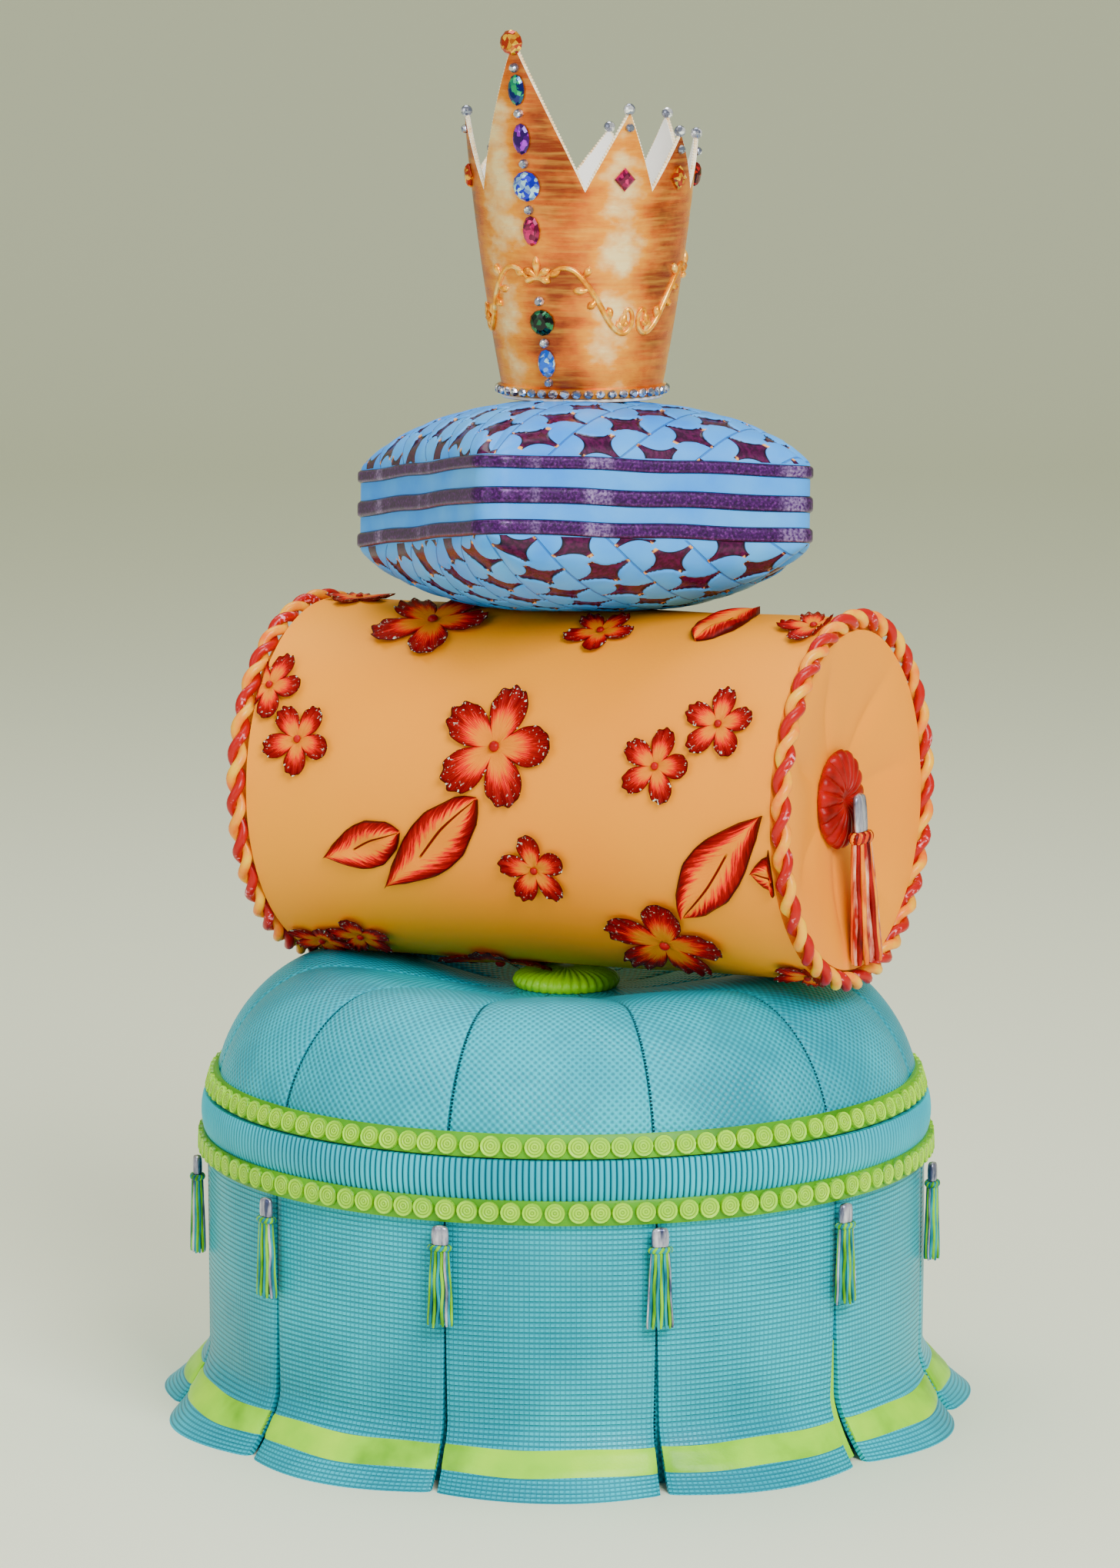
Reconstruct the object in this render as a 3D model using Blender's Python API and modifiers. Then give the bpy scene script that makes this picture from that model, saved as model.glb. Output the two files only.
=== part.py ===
"""A wedding cake stacked like soft furniture: a tasselled pouf, a bolster, a box pillow and a crown.

Metres, +Z up. The origin is the middle of the cake's flat underside, and its front looks to -Y.
Every tier is modelled in its own frame, held by an empty, and every separate piece is an object.
"""

from math import cos, pi, radians, sin, sqrt, tau

import bmesh
import bpy
import numpy as np
from mathutils import Matrix

# ---------------------------------------------------------------- driving sizes, in metres

TOUCH = 0.0003  # room left between pieces that lie on each other
MERGE = 0.00001
SHARP = radians(35)  # edges sharper than this stay crisp

# pouf: a round cake under a puffed top, with eleven skirt panels hung round it
PANELS = 11
PANEL_ANGLE = tau / PANELS
PANEL_STEPS = 3
SEAM_TURN = radians(-108.9)  # where the first seam stands
CORE_R = 0.1855
DOME_R = 0.1852
DOME_FOOT = 0.1645
CREST_R = 0.126
CREST_Z = 0.2348
DOME_POWER = 1.82
PUFF = 0.0018
PUFF_POWER = 0.6  # below 1, so that the seams are narrow and the panels full
PUFF_FADE = (0.04, 0.010, 0.03)  # across the seat; above the foot; over this height
SEAT_R = 0.031
SEAT_Z = 0.2222

SKIRT_R = 0.1900
SKIRT_TOP = 0.1360
HEM_R = 0.2180  # at a panel's middle
HEM_AT_PLEAT = 0.64  # share of that flare which is left at its pleats
SKIRT_SHEET = 0.0035
RIBBON = 0.0009  # how far the ribbon stands off the panel
PLEAT_TOP = 0.0006  # half the gap between two panels, at the top
PLEAT_HEM = 0.0055  # and at the hem
PLEAT_OPENS = 0.087  # height below which the gap opens
PLEAT_POWER = 1.3

BAND_R = 0.1900
BAND_BULGE = 0.0024
BAND_SHEET = 0.0037
BAND_LOW, BAND_HIGH = 0.1368, 0.1680

TRIM_DISCS = 108
TRIM_STRIP = 0.0026
TRIM_DISC_RISE = 0.0016
LOWER_TRIM = ((0.1908, 0.1362), (0.1904, 0.1484))  # inner face, low edge and high edge
UPPER_TRIM = ((0.1873, 0.1688), (0.1840, 0.1803))

BUTTON_R = 0.0285
BUTTON_H = 0.0105
BUTTON_FLUTE = 0.05  # depth of its ribs, as a share of its radius

TASSEL_R = 0.1958  # where the tassels hang, from the pouf's axis
TASSEL_TOP = 0.1350
TASSEL_LENGTH = 0.0520
TASSEL_CAP = (0.0046, 0.0100)  # radius and height
TASSEL_HEM_R = 0.0073
TASSEL_SIDES = 6
TASSEL_FLAT = 0.55  # its depth over its width

# the upper tiers stand a little to the right of the pouf's axis
TOWER_X = 0.0083

# bolster: a lying cylinder, its right end turned towards the front
BOLSTER_Z = 0.3291
BOLSTER_R = 0.0940
BOLSTER_YAW = radians(-26.0)
BOLSTER_TILT = radians(-1.1)
BOLSTER_HALF = 0.1565
BOLSTER_STEPS = 28
END_DISH = 0.0112
ROPE_RING_R = 0.0937
ROPE_AT = 0.1560  # the rope's middle, along the bolster
ROPE_TWISTS = 22
ROPE_STATIONS = 3.5  # points a twist
STRAND_R = 0.0020
STRAND_OFFSET = 0.0032
ROPE_GROOVE = 0.0060
END_BUTTON_R = 0.0260
END_BUTTON_H = 0.0080
END_BUTTON_FLUTE = 0.06
END_TASSEL_LENGTH = 0.0880
END_TASSEL_CAP = (0.0070, 0.0200)
END_TASSEL_HEM_R = 0.0145
END_TASSEL_FLAT = 0.40
END_TASSEL_HANG = 0.0020  # its middle stands this far off the bolster's end
END_TASSEL_LEAN = radians(2.2)
END_TASSEL_TOP = 0.0040

FLOWER_SHEET = 0.0020
FLOWER_LIFT = 0.0008  # clear of the bolster's flat facets
BIG_FLOWER = 0.0325  # from the middle to a petal's tip
SMALL_FLOWER = 0.0195
BIG_LEAF = (0.0780, 0.0300)  # length and width
SMALL_LEAF = (0.0485, 0.0255)
# name, along the bolster, degrees up from the front, size, degrees it is turned
FLOWERS = (
    ("flower_big_front", -0.0060, 19.8, BIG_FLOWER, 75),
    ("flower_big_low", 0.0770, -47.4, BIG_FLOWER, 148),
    ("flower_big_top", -0.0690, 69.5, BIG_FLOWER, 215),
    ("flower_big_back", 0.0350, 170.0, BIG_FLOWER, 40),
    ("flower_left", -0.1206, 19.1, SMALL_FLOWER, 55),
    ("flower_rope_left", -0.1440, 36.8, SMALL_FLOWER, 68),
    ("flower_mid", 0.0856, 16.2, SMALL_FLOWER, 74),
    ("flower_right", 0.1168, 30.5, SMALL_FLOWER, 86),
    ("flower_low", 0.0156, -19.0, SMALL_FLOWER, 95),
    ("flower_pillow", 0.0304, 66.8, SMALL_FLOWER, 208),
    ("flower_rope_right", 0.1440, 76.2, SMALL_FLOWER, 188),
    ("flower_top_left", -0.1310, 91.0, SMALL_FLOWER, 263),
)
# name, along the bolster and degrees up at the stalk, size, degrees the leaf points
LEAVES = (
    ("leaf_big_front", -0.0142, 3.4, BIG_LEAF, -139.0),
    ("leaf_small_front", -0.0600, -8.6, SMALL_LEAF, -161.0),
    ("leaf_big_right", 0.0950, -33.0, BIG_LEAF, 49.0),
    ("leaf_small_right", 0.1385, -15.5, SMALL_LEAF, -4.0),
    ("leaf_top", 0.0863, 63.7, SMALL_LEAF, 70.0),
    ("leaf_back", 0.0010, 158.0, BIG_LEAF, -160.0),
)

# pillow: a square box cushion, its near corner lifted
PILLOW_Z = 0.4764
PILLOW_SIDE = 0.1857
PILLOW_CORNER = 0.0140
PILLOW_BAND = 0.0409
PILLOW_RISE = 0.0340
PILLOW_POWER = 0.52
PILLOW_EDGE = 2.8  # how late its faces fall away towards the band
PILLOW_STEPS = 12
PILLOW_YAW = radians(22.7)
PILLOW_TILT = radians(-9.0)
PILLOW_ROLL = radians(0.6)
STAR_DENT = 0.0015
DENT_REACH = 0.1  # a dent takes in the points this near it, in steps of the grid
DENT_EDGE = 0.1  # and leaves out the low outer part of the crown
STRIPE_SHEET = 0.0010
STRIPE_LIFT = 0.0007
# name, low and high edge from the pillow's middle
STRIPES = (
    ("pillow_stripe_top", 0.0135, 0.0202),
    ("pillow_stripe_mid", -0.0043, 0.0043),
    ("pillow_stripe_low", -0.0202, -0.0124),
)

# crown: a band with one tall tip and eight low ones, on a round plate
PLATE_R = 0.0420
PLATE_LOW, PLATE_HIGH = 0.5345, 0.5365
PLATE_STEPS = 24
PLUG_R = 0.0300  # the plate's foot, let into the leaning pillow so that the crown is level
PLUG_LOW = 0.5200
CROWN_FOOT = 0.5368
CROWN_R = 0.0413  # at its foot
CROWN_FLARE = 0.1905  # how fast it widens there
CROWN_BEND = 0.363  # and how that slows down
CROWN_RIM = 0.0016  # how far the row of stones at the foot stands out
CROWN_RIM_H = 0.0046
CROWN_RIM_STEP = 0.0009
CROWN_MIDDLE = 0.570  # one more row of points, where the wall bends
CROWN_WALL = 0.0024
VALLEY_Z = 0.6432
TALL_TIP = (radians(-62.0), radians(-34.0), radians(1.2))  # left foot, point and right foot
TALL_TIP_Z = 0.7190
# height of each low tip's point, and the degrees that it leans to the right
LOW_TIPS = (
    (0.6835, 3.3),
    (0.6715, 0.0),
    (0.6690, 0.0),
    (0.6780, 0.9),
    (0.6700, -2.3),
    (0.6740, 0.0),
    (0.6600, -9.0),
    (0.6810, -1.5),
)
STONE_DEPTH = 0.0040
STONE_SUNK = 0.1  # how far its middle stands off the wall, as a share of its depth
TOP_STONE_DEPTH = 0.0060
SPINE_FOOT = (0.545, -23.5)  # where the row of stones starts: height, and degrees from the front
SPINE_LEAN = -60.0  # degrees a metre
# stones down the tall tip: height, half width, half height, all in metres
SPINE_STONES = (
    (0.6950, 0.0048, 0.0080),
    (0.6702, 0.0048, 0.0080),
    (0.6461, 0.0078, 0.0078),
    (0.6233, 0.0048, 0.0078),
    (0.5761, 0.0068, 0.0068),
    (0.5549, 0.0048, 0.0074),
)
TOP_STONE_R = 0.0066
TIP_BALL_R = 0.0031
TIP_BALL_UP = 0.0018  # its middle over the tip's point


# ---------------------------------------------------------------- helpers

for old in list(bpy.data.objects):
    bpy.data.objects.remove(old, do_unlink=True)


def collection(name):
    """A new collection in the scene."""
    made = bpy.data.collections.new(name)
    bpy.context.scene.collection.children.link(made)
    return made


CAKE = collection("wedding_cake")
CUTTERS = collection("cutters")


def paste(name, colour, roughness=0.5, metallic=0.0):
    """A plain Principled material of one colour."""
    made = bpy.data.materials.new(name)
    made.use_nodes = True
    shader = made.node_tree.nodes["Principled BSDF"]
    shader.inputs["Base Color"].default_value = (*colour, 1.0)
    shader.inputs["Roughness"].default_value = roughness
    shader.inputs["Metallic"].default_value = metallic
    made.diffuse_color = (*colour, 1.0)
    return made


TEAL = paste("teal_paste", (0.03, 0.42, 0.48), 0.45)
LIME = paste("lime_paste", (0.35, 0.68, 0.03), 0.4)
ORANGE = paste("orange_paste", (0.95, 0.42, 0.05), 0.5)
RED = paste("red_paste", (0.60, 0.02, 0.03), 0.4)
PETAL = paste("brushed_petal", (0.72, 0.10, 0.03), 0.5)
SKY = paste("pale_blue_paste", (0.36, 0.62, 0.82), 0.5)
PURPLE = paste("pearl_purple_paste", (0.14, 0.04, 0.22), 0.3, 0.3)
GOLD = paste("gold_leaf", (0.85, 0.50, 0.18), 0.3, 0.9)
WHITE = paste("white_paste", (0.9, 0.9, 0.9), 0.5)


def holder(name, place=(0, 0, 0), turn=None):
    """An empty that carries a tier's frame."""
    made = bpy.data.objects.new(name, None)
    made.matrix_world = Matrix.Translation(place) @ (turn or Matrix.Identity(4))
    CAKE.objects.link(made)
    return made


def baked(temporary):
    """The evaluated mesh of an object that was only a means, which is then removed."""
    graph = bpy.context.evaluated_depsgraph_get()
    mesh = bpy.data.meshes.new_from_object(temporary.evaluated_get(graph))
    bpy.data.objects.remove(temporary, do_unlink=True)
    work = bmesh.new()
    work.from_mesh(mesh)
    bmesh.ops.remove_doubles(work, verts=work.verts, dist=MERGE)
    bmesh.ops.dissolve_degenerate(work, dist=MERGE, edges=work.edges)
    work.to_mesh(mesh)
    work.free()
    return mesh


def loose(name, mesh):
    """A temporary object that holds a mesh."""
    made = bpy.data.objects.new(name, mesh)
    bpy.context.scene.collection.objects.link(made)
    return made


def shaped(mesh, rule):
    """Moves a mesh's points as rule says: rule takes and gives an array of points."""
    points = np.zeros(len(mesh.vertices) * 3)
    mesh.vertices.foreach_get("co", points)
    mesh.vertices.foreach_set("co", np.asarray(rule(points.reshape(-1, 3)), float).ravel())
    mesh.update()
    return mesh


def turned(profile, steps, closed=False):
    """A solid turned about Z, from (radius, height) points that run down its outer side."""
    count = len(profile)
    edges = [(i, (i + 1) % count) for i in range(count if closed else count - 1)]
    line = bpy.data.meshes.new("profile")
    line.from_pydata([(r, 0.0, z) for r, z in profile], edges, [])
    made = loose("turned", line)
    screw = made.modifiers.new("turn", "SCREW")
    screw.steps = screw.render_steps = steps
    screw.use_merge_vertices = True
    screw.merge_threshold = MERGE
    return baked(made)


def sheet(columns, rows, rule, thickness, offset=-1.0):
    """A grid put in place by rule, which takes (u, v) from 0 to 1, and thickened by Solidify."""
    work = bmesh.new()
    bmesh.ops.create_grid(work, x_segments=columns, y_segments=rows, size=0.5)
    mesh = bpy.data.meshes.new("sheet")
    work.to_mesh(mesh)
    work.free()
    shaped(mesh, lambda p: rule(p[:, 0] + 0.5, p[:, 1] + 0.5))
    work = bmesh.new()
    work.from_mesh(mesh)
    bmesh.ops.remove_doubles(work, verts=work.verts, dist=MERGE)
    work.to_mesh(mesh)
    work.free()
    made = loose("sheet", mesh)
    thick = made.modifiers.new("thick", "SOLIDIFY")
    thick.thickness = thickness
    thick.offset = offset
    thick.use_even_offset = True
    return baked(made)


def node(name, mesh, look, parent=None, turn=None, smooth=True):
    """A named piece of the cake."""
    made = bpy.data.objects.new(name, mesh)
    if not mesh.materials:
        mesh.materials.append(look)
    CAKE.objects.link(made)
    made.parent = parent
    if turn is not None:
        made.matrix_local = turn
    if smooth and isinstance(mesh, bpy.types.Mesh):
        mesh.shade_smooth()
        mesh.set_sharp_from_angle(angle=SHARP)
    return made


def cut(target, cutter):
    """Takes the cutter's shape out of the target."""
    for home in list(cutter.users_collection):
        home.objects.unlink(cutter)
    CUTTERS.objects.link(cutter)
    cutter.hide_render = True
    cutter.display_type = "WIRE"
    made = target.modifiers.new("cut", "BOOLEAN")
    made.operation = "DIFFERENCE"
    made.object = cutter


def mixed(a, b, share):
    """The point or number between a and b."""
    return np.asarray(a) + (np.asarray(b) - np.asarray(a)) * share


def smoothstep(share):
    """0 to 1 with flat ends."""
    share = np.clip(share, 0.0, 1.0)
    return share * share * (3 - 2 * share)


# ---------------------------------------------------------------- pouf

POUF = holder("pouf", turn=Matrix.Rotation(SEAM_TURN, 4, "Z"))


def dome_profile(outer_points=6, inner_points=4):
    """From the button's seat over the crest and down the outer side, a superellipse."""
    profile = [(0.0, SEAT_Z), (SEAT_R, SEAT_Z)]
    for i in range(1, inner_points):
        r = mixed(SEAT_R, CREST_R, i / inner_points)
        profile.append((r, mixed(SEAT_Z, CREST_Z, smoothstep(i / inner_points))))
    for i in range(outer_points + 1):
        angle = pi / 2 * (1 - i / outer_points)
        profile.append(
            (
                CREST_R + (DOME_R - CREST_R) * cos(angle) ** (2 / DOME_POWER),
                DOME_FOOT + (CREST_Z - DOME_FOOT) * sin(angle) ** (2 / DOME_POWER),
            )
        )
    return profile


def puffed(points):
    """Each panel of the top swells between its two seams, most at the crest."""
    x, y, z = points.T
    r = np.hypot(x, y)
    between = np.abs(np.sin(PANELS / 2 * np.arctan2(y, x))) ** PUFF_POWER
    across, above, over = PUFF_FADE
    fade = smoothstep((r - SEAT_R) / across) * smoothstep((z - DOME_FOOT - above) / over)
    swell = PUFF * between * fade
    outward = smoothstep((r - CREST_R) / (DOME_R - CREST_R))
    grow = 1 + swell * outward / np.maximum(r, 0.01)
    return np.stack([x * grow, y * grow, z + swell * (1 - outward)], -1)


core = [(CORE_R, 0.0), (0.0, 0.0)]
top = node(
    "pouf_cake",
    shaped(turned(dome_profile() + core, PANELS * PANEL_STEPS), puffed),
    TEAL,
    POUF,
)

# outer face of a skirt panel, from the top down: radius and height
PANEL_PROFILE = np.array(
    (
        (SKIRT_R, SKIRT_TOP),
        (SKIRT_R, 0.060),
        (0.1912, 0.0310),
        (0.1950, 0.0222),
        (0.1950 + RIBBON, 0.0212),
        (0.2058 + RIBBON, 0.0098),
        (HEM_R, 0.0),
    )
)


def panel_place(u, v):
    """u runs round the pouf from pleat to pleat, v up the panel, whose hem flares in a bow."""
    at = (1 - v) * (len(PANEL_PROFILE) - 1)
    r = np.interp(at, np.arange(len(PANEL_PROFILE)), PANEL_PROFILE[:, 0])
    z = np.interp(at, np.arange(len(PANEL_PROFILE)), PANEL_PROFILE[:, 1])
    r = SKIRT_R + (r - SKIRT_R) * mixed(HEM_AT_PLEAT, 1.0, np.sin(pi * u))
    gap = PLEAT_TOP + PLEAT_HEM * np.clip(1 - z / PLEAT_OPENS, 0, 1) ** PLEAT_POWER
    angle = (u - 0.5) * (PANEL_ANGLE - 2 * gap / r)
    return np.stack([r * np.cos(angle), r * np.sin(angle), z], -1)


def on_the_floor(points):
    """Nothing hangs below the underside."""
    points[:, 2] = np.maximum(points[:, 2], 0.0)
    return points


panel = sheet(PANEL_STEPS, len(PANEL_PROFILE) - 1, panel_place, SKIRT_SHEET)
shaped(panel, on_the_floor)
for number in range(PANELS):
    turn = Matrix.Rotation((number + 0.5) * PANEL_ANGLE, 4, "Z")
    node(f"skirt_panel_{number + 1:02d}", panel, TEAL, POUF, turn)

band = [
    (BAND_R, BAND_HIGH),
    (BAND_R + BAND_BULGE, mixed(BAND_LOW, BAND_HIGH, 0.86)),
    (BAND_R + BAND_BULGE, mixed(BAND_LOW, BAND_HIGH, 0.54)),
    (BAND_R, LOWER_TRIM[1][1] + TOUCH),
    (BAND_R, BAND_LOW),
    (BAND_R - BAND_SHEET, BAND_LOW),
    (BAND_R - BAND_SHEET, BAND_HIGH),
]
node("ribbed_band", turned(band, PANELS * PANEL_STEPS, closed=True), TEAL, POUF)


def disc_trim(low, high):
    """A strip with a chain of six-sided discs pressed on it, edge to edge.

    Each disc has a raised middle, a point at its foot and one at its head, and shares
    its two upright sides with the discs beside it.
    """
    low, high = np.array(low), np.array(high)
    along = (high - low) / np.linalg.norm(high - low)
    outward = np.array([along[1], -along[0]])
    side_low, side_high = 0.22, 0.78

    def ring(share, lift, shift):
        r, z = low + (high - low) * share + outward * lift
        angle = (np.arange(TRIM_DISCS) + shift) * tau / TRIM_DISCS
        return np.stack([r * np.cos(angle), r * np.sin(angle), np.full_like(angle, z)], -1)

    rings = [
        ring(side_low, TRIM_STRIP, 0),
        ring(side_high, TRIM_STRIP, 0),
        ring(0, 0, 0),
        ring(1, 0, 0),
        ring(0, TRIM_STRIP, 0.5),
        ring(0.5, TRIM_STRIP + TRIM_DISC_RISE, 0.5),
        ring(1, TRIM_STRIP, 0.5),
    ]
    here = np.arange(TRIM_DISCS)
    after = (here + 1) % TRIM_DISCS
    b1, b2, i1, i2, foot, middle, head = (k * TRIM_DISCS + here for k in range(7))
    b1n, b2n, i1n, i2n = (k * TRIM_DISCS + after for k in range(4))
    triangles = (
        (middle, foot, b1n),
        (middle, b1n, b2n),
        (middle, b2n, head),
        (middle, head, b2),
        (middle, b2, b1),
        (middle, b1, foot),
        (b1, i1, foot),
        (i1, i1n, foot),
        (i1n, b1n, foot),
        (b2n, i2n, head),
        (i2n, i2, head),
        (i2, b2, head),
        (i1n, i1, i2),
        (i1n, i2, i2n),
    )
    faces = np.concatenate([np.stack(t, -1) for t in triangles])
    mesh = bpy.data.meshes.new("disc_trim")
    mesh.from_pydata(np.concatenate(rings).tolist(), [], faces.tolist())
    return mesh


node("lower_trim", disc_trim(*LOWER_TRIM), LIME, POUF, smooth=False)
node("upper_trim", disc_trim(*UPPER_TRIM), LIME, POUF, smooth=False)


def fluted(points, count, depth):
    """Every second point round the axis is pulled in, which makes ribs."""
    x, y, z = points.T
    angle = np.arctan2(y, x)
    pull = 1 - depth * (np.round(angle / tau * count) % 2)
    return np.stack([x * pull, y * pull, z], -1)


BUTTON_RIBS = 20
button = [
    (0.0, BUTTON_H),
    (0.55 * BUTTON_R, BUTTON_H),
    (0.93 * BUTTON_R, 0.82 * BUTTON_H),
    (BUTTON_R, 0.35 * BUTTON_H),
    (0.95 * BUTTON_R, 0.0),
    (0.0, 0.0),
]
node(
    "top_button",
    shaped(turned(button, BUTTON_RIBS), lambda p: fluted(p, BUTTON_RIBS, BUTTON_FLUTE)),
    LIME,
    POUF,
    Matrix.Translation((0, 0, SEAT_Z + TOUCH)),
)


def tassel(length, cap, hem_r):
    """A cap, a cord bound round its foot and a skirt of strands, hanging from the origin."""
    cap_r, cap_h = cap
    profile = [
        (0.0, 0.0),
        (0.90 * cap_r, -0.06 * cap_h),
        (cap_r, -cap_h),
        (1.15 * cap_r, -1.16 * cap_h),
        (1.06 * cap_r, -1.33 * cap_h),
        (hem_r, -length),
        (0.0, -length),
    ]
    return turned(profile, TASSEL_SIDES)


skirt_tassel = tassel(TASSEL_LENGTH, TASSEL_CAP, TASSEL_HEM_R)
shaped(skirt_tassel, lambda p: p * np.array([TASSEL_FLAT, 1.0, 1.0]))
for number in range(PANELS):
    turn = Matrix.Rotation(number * PANEL_ANGLE, 4, "Z")
    turn = turn @ Matrix.Translation((TASSEL_R, 0, TASSEL_TOP))
    node(f"skirt_tassel_{number + 1:02d}", skirt_tassel, LIME, POUF, turn)


# ---------------------------------------------------------------- bolster

BOLSTER_FRAME = Matrix.Rotation(BOLSTER_YAW, 4, "Z") @ Matrix.Rotation(BOLSTER_TILT, 4, "Y")
BOLSTER = holder("bolster_frame", (TOWER_X, 0, BOLSTER_Z), BOLSTER_FRAME)
LIE_ALONG_X = Matrix.Rotation(pi / 2, 4, "Y")


def bolster_end():
    """Half the turned outline: the dished end, the rope's groove and the side."""
    outline = [
        (0.0, BOLSTER_HALF - END_DISH),
        (END_BUTTON_R + 0.001, BOLSTER_HALF - END_DISH),
        (ROPE_RING_R - ROPE_GROOVE, BOLSTER_HALF),
    ]
    for degrees in (30, 60):
        outline.append(
            (
                ROPE_RING_R - ROPE_GROOVE * cos(radians(degrees)),
                ROPE_AT - ROPE_GROOVE * sin(radians(degrees)),
            )
        )
    reach = sqrt(ROPE_GROOVE**2 - (BOLSTER_R - ROPE_RING_R) ** 2)
    outline.append((BOLSTER_R, ROPE_AT - reach))
    return outline


half = bolster_end()
profile = half + [(r, -z) for r, z in reversed(half)]
bolster = turned(profile, BOLSTER_STEPS)
bolster.transform(LIE_ALONG_X)
node("bolster", bolster, ORANGE, BOLSTER)


def strand_points(side, phase):
    """A strand winds round the rope's middle, which is a ring round the bolster's edge."""
    count = round(ROPE_TWISTS * ROPE_STATIONS)
    share = np.arange(count) / count
    wind = ROPE_TWISTS * tau * share + phase
    r = ROPE_RING_R + STRAND_OFFSET * np.cos(wind)
    x = side * ROPE_AT + STRAND_OFFSET * np.sin(wind)
    return np.stack([x, -r * np.cos(tau * share), r * np.sin(tau * share)], -1)


def strand(name, points, look):
    """A closed tube along the points."""
    curve = bpy.data.curves.new(name, "CURVE")
    curve.dimensions = "3D"
    curve.bevel_depth = STRAND_R
    curve.bevel_resolution = 0
    spline = curve.splines.new("POLY")
    spline.points.add(len(points) - 1)
    spline.points.foreach_set("co", np.c_[points, np.ones(len(points))].ravel())
    spline.use_cyclic_u = True
    node(name, curve, look, BOLSTER)


for side, end in ((-1, "left"), (1, "right")):
    strand(f"rope_{end}_red", strand_points(side, 0.0), RED)
    strand(f"rope_{end}_orange", strand_points(side, pi), ORANGE)

END_BUTTON_RIBS = 16
end_button = [
    (0.0, 0.55 * END_BUTTON_H),
    (0.45 * END_BUTTON_R, 0.95 * END_BUTTON_H),
    (0.80 * END_BUTTON_R, END_BUTTON_H),
    (END_BUTTON_R, 0.45 * END_BUTTON_H),
    (0.92 * END_BUTTON_R, 0.0),
    (0.0, 0.0),
]
end_button = shaped(
    turned(end_button, END_BUTTON_RIBS), lambda p: fluted(p, END_BUTTON_RIBS, END_BUTTON_FLUTE)
)
end_tassel = tassel(END_TASSEL_LENGTH, END_TASSEL_CAP, END_TASSEL_HEM_R)
shaped(end_tassel, lambda p: p * np.array([END_TASSEL_FLAT, 1.0, 1.0]))
for side, end in ((-1, "left"), (1, "right")):
    face_out = Matrix.Rotation(side * pi / 2, 4, "Y")
    seat = Matrix.Translation((side * (BOLSTER_HALF - END_DISH + TOUCH), 0, 0))
    node(f"end_button_{end}", end_button, RED, BOLSTER, seat @ face_out)
    hang = Matrix.Translation((side * (BOLSTER_HALF + END_TASSEL_HANG), 0, END_TASSEL_TOP))
    lean = Matrix.Rotation(-side * END_TASSEL_LEAN, 4, "Y")
    node(f"end_tassel_{end}", end_tassel, RED, BOLSTER, hang @ lean)


def wrapped(along, round_up, lift):
    """Distances over the bolster's side become places on it; round_up is from the front."""
    angle = round_up / BOLSTER_R
    r = BOLSTER_R + lift
    return np.stack([along, -r * np.cos(angle), r * np.sin(angle)], -1)


def laid(points, faces, rim, along, degrees, turn):
    """A flat cutting of even thickness, laid on the bolster.

    points are flat places in its own frame, faces its triangles seen from above, and rim
    the numbers of the points along its edge.
    """
    turn = radians(turn)
    spin = np.array([[cos(turn), sin(turn)], [-sin(turn), cos(turn)]])
    flat = np.asarray(points, float) @ spin
    round_up = flat[:, 1] + radians(degrees) * BOLSTER_R
    over = wrapped(flat[:, 0] + along, round_up, FLOWER_LIFT + FLOWER_SHEET)
    under = wrapped(flat[:, 0] + along, round_up, FLOWER_LIFT)
    total = len(flat)
    lower = [tuple(i + total for i in reversed(face)) for face in faces]
    edges = zip(rim, rim[1:] + rim[:1])
    side = [(b, a, a + total, b + total) for a, b in edges]
    mesh = bpy.data.meshes.new("cutting")
    mesh.from_pydata(np.concatenate([over, under]).tolist(), [], faces + lower + side)
    return mesh


PETALS = 5
# degrees from the petal's middle and share of the flower's size
BIG_PETAL = ((-36, 0.42), (-17, 0.86), (3, 1.0), (19, 0.83))
SMALL_PETAL = ((-36, 0.45), (-14, 0.95), (16, 0.92))


def flower(size):
    """Five petals round a middle; a big one has a ring of points half way, to bend over."""
    petal = BIG_PETAL if size > 1.3 * SMALL_FLOWER else SMALL_PETAL
    spokes = [(72 * k + d, r) for k in range(PETALS) for d, r in petal]
    rim = list(range(len(spokes)))
    if petal is BIG_PETAL:
        spokes += [(72 * k, 0.5) for k in range(PETALS)]
    points = [(size * r * cos(radians(d)), size * r * sin(radians(d))) for d, r in spokes]
    points.append((0.0, 0.0))
    middle = len(points) - 1
    if petal is SMALL_PETAL:
        return points, fan(rim, middle), rim
    ring = list(range(len(rim), middle))
    faces = fan(ring, middle)
    for i in rim:
        after = (i + 1) % len(rim)
        near, far = ring[i // len(petal)], ring[(i // len(petal) + 1) % PETALS]
        faces.append((i, after, near))
        if after % len(petal) == 0:
            faces.append((after, far, near))
    return points, faces, rim


def fan(rim, middle):
    """Triangles from each edge of a loop to one point."""
    return [(a, b, middle) for a, b in zip(rim, rim[1:] + rim[:1])]


def leaf(size):
    """A pointed leaf that grows along +X from its stalk: edge, midrib and edge at each station."""
    length, width = size
    stations = ((0.12, 0.62), (0.35, 1.0), (0.62, 0.86), (0.85, 0.40))
    points = [(0.0, 0.0)]
    for share, swell in stations:
        points += [(length * share, width / 2 * swell * side) for side in (-1, 0, 1)]
    points.append((length, 0.0))
    last = len(points) - 1
    faces = [(0, 1, 2), (0, 2, 3), (last - 3, last, last - 2), (last - 2, last, last - 1)]
    for k in range(len(stations) - 1):
        a, b = 1 + 3 * k, 4 + 3 * k
        faces += [(a, b, b + 1), (a, b + 1, a + 1), (a + 1, b + 1, b + 2), (a + 1, b + 2, a + 2)]
    near_edge = [1 + 3 * k for k in range(len(stations))]
    far_edge = [i + 2 for i in reversed(near_edge)]
    return points, faces, [0] + near_edge + [last] + far_edge


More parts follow.
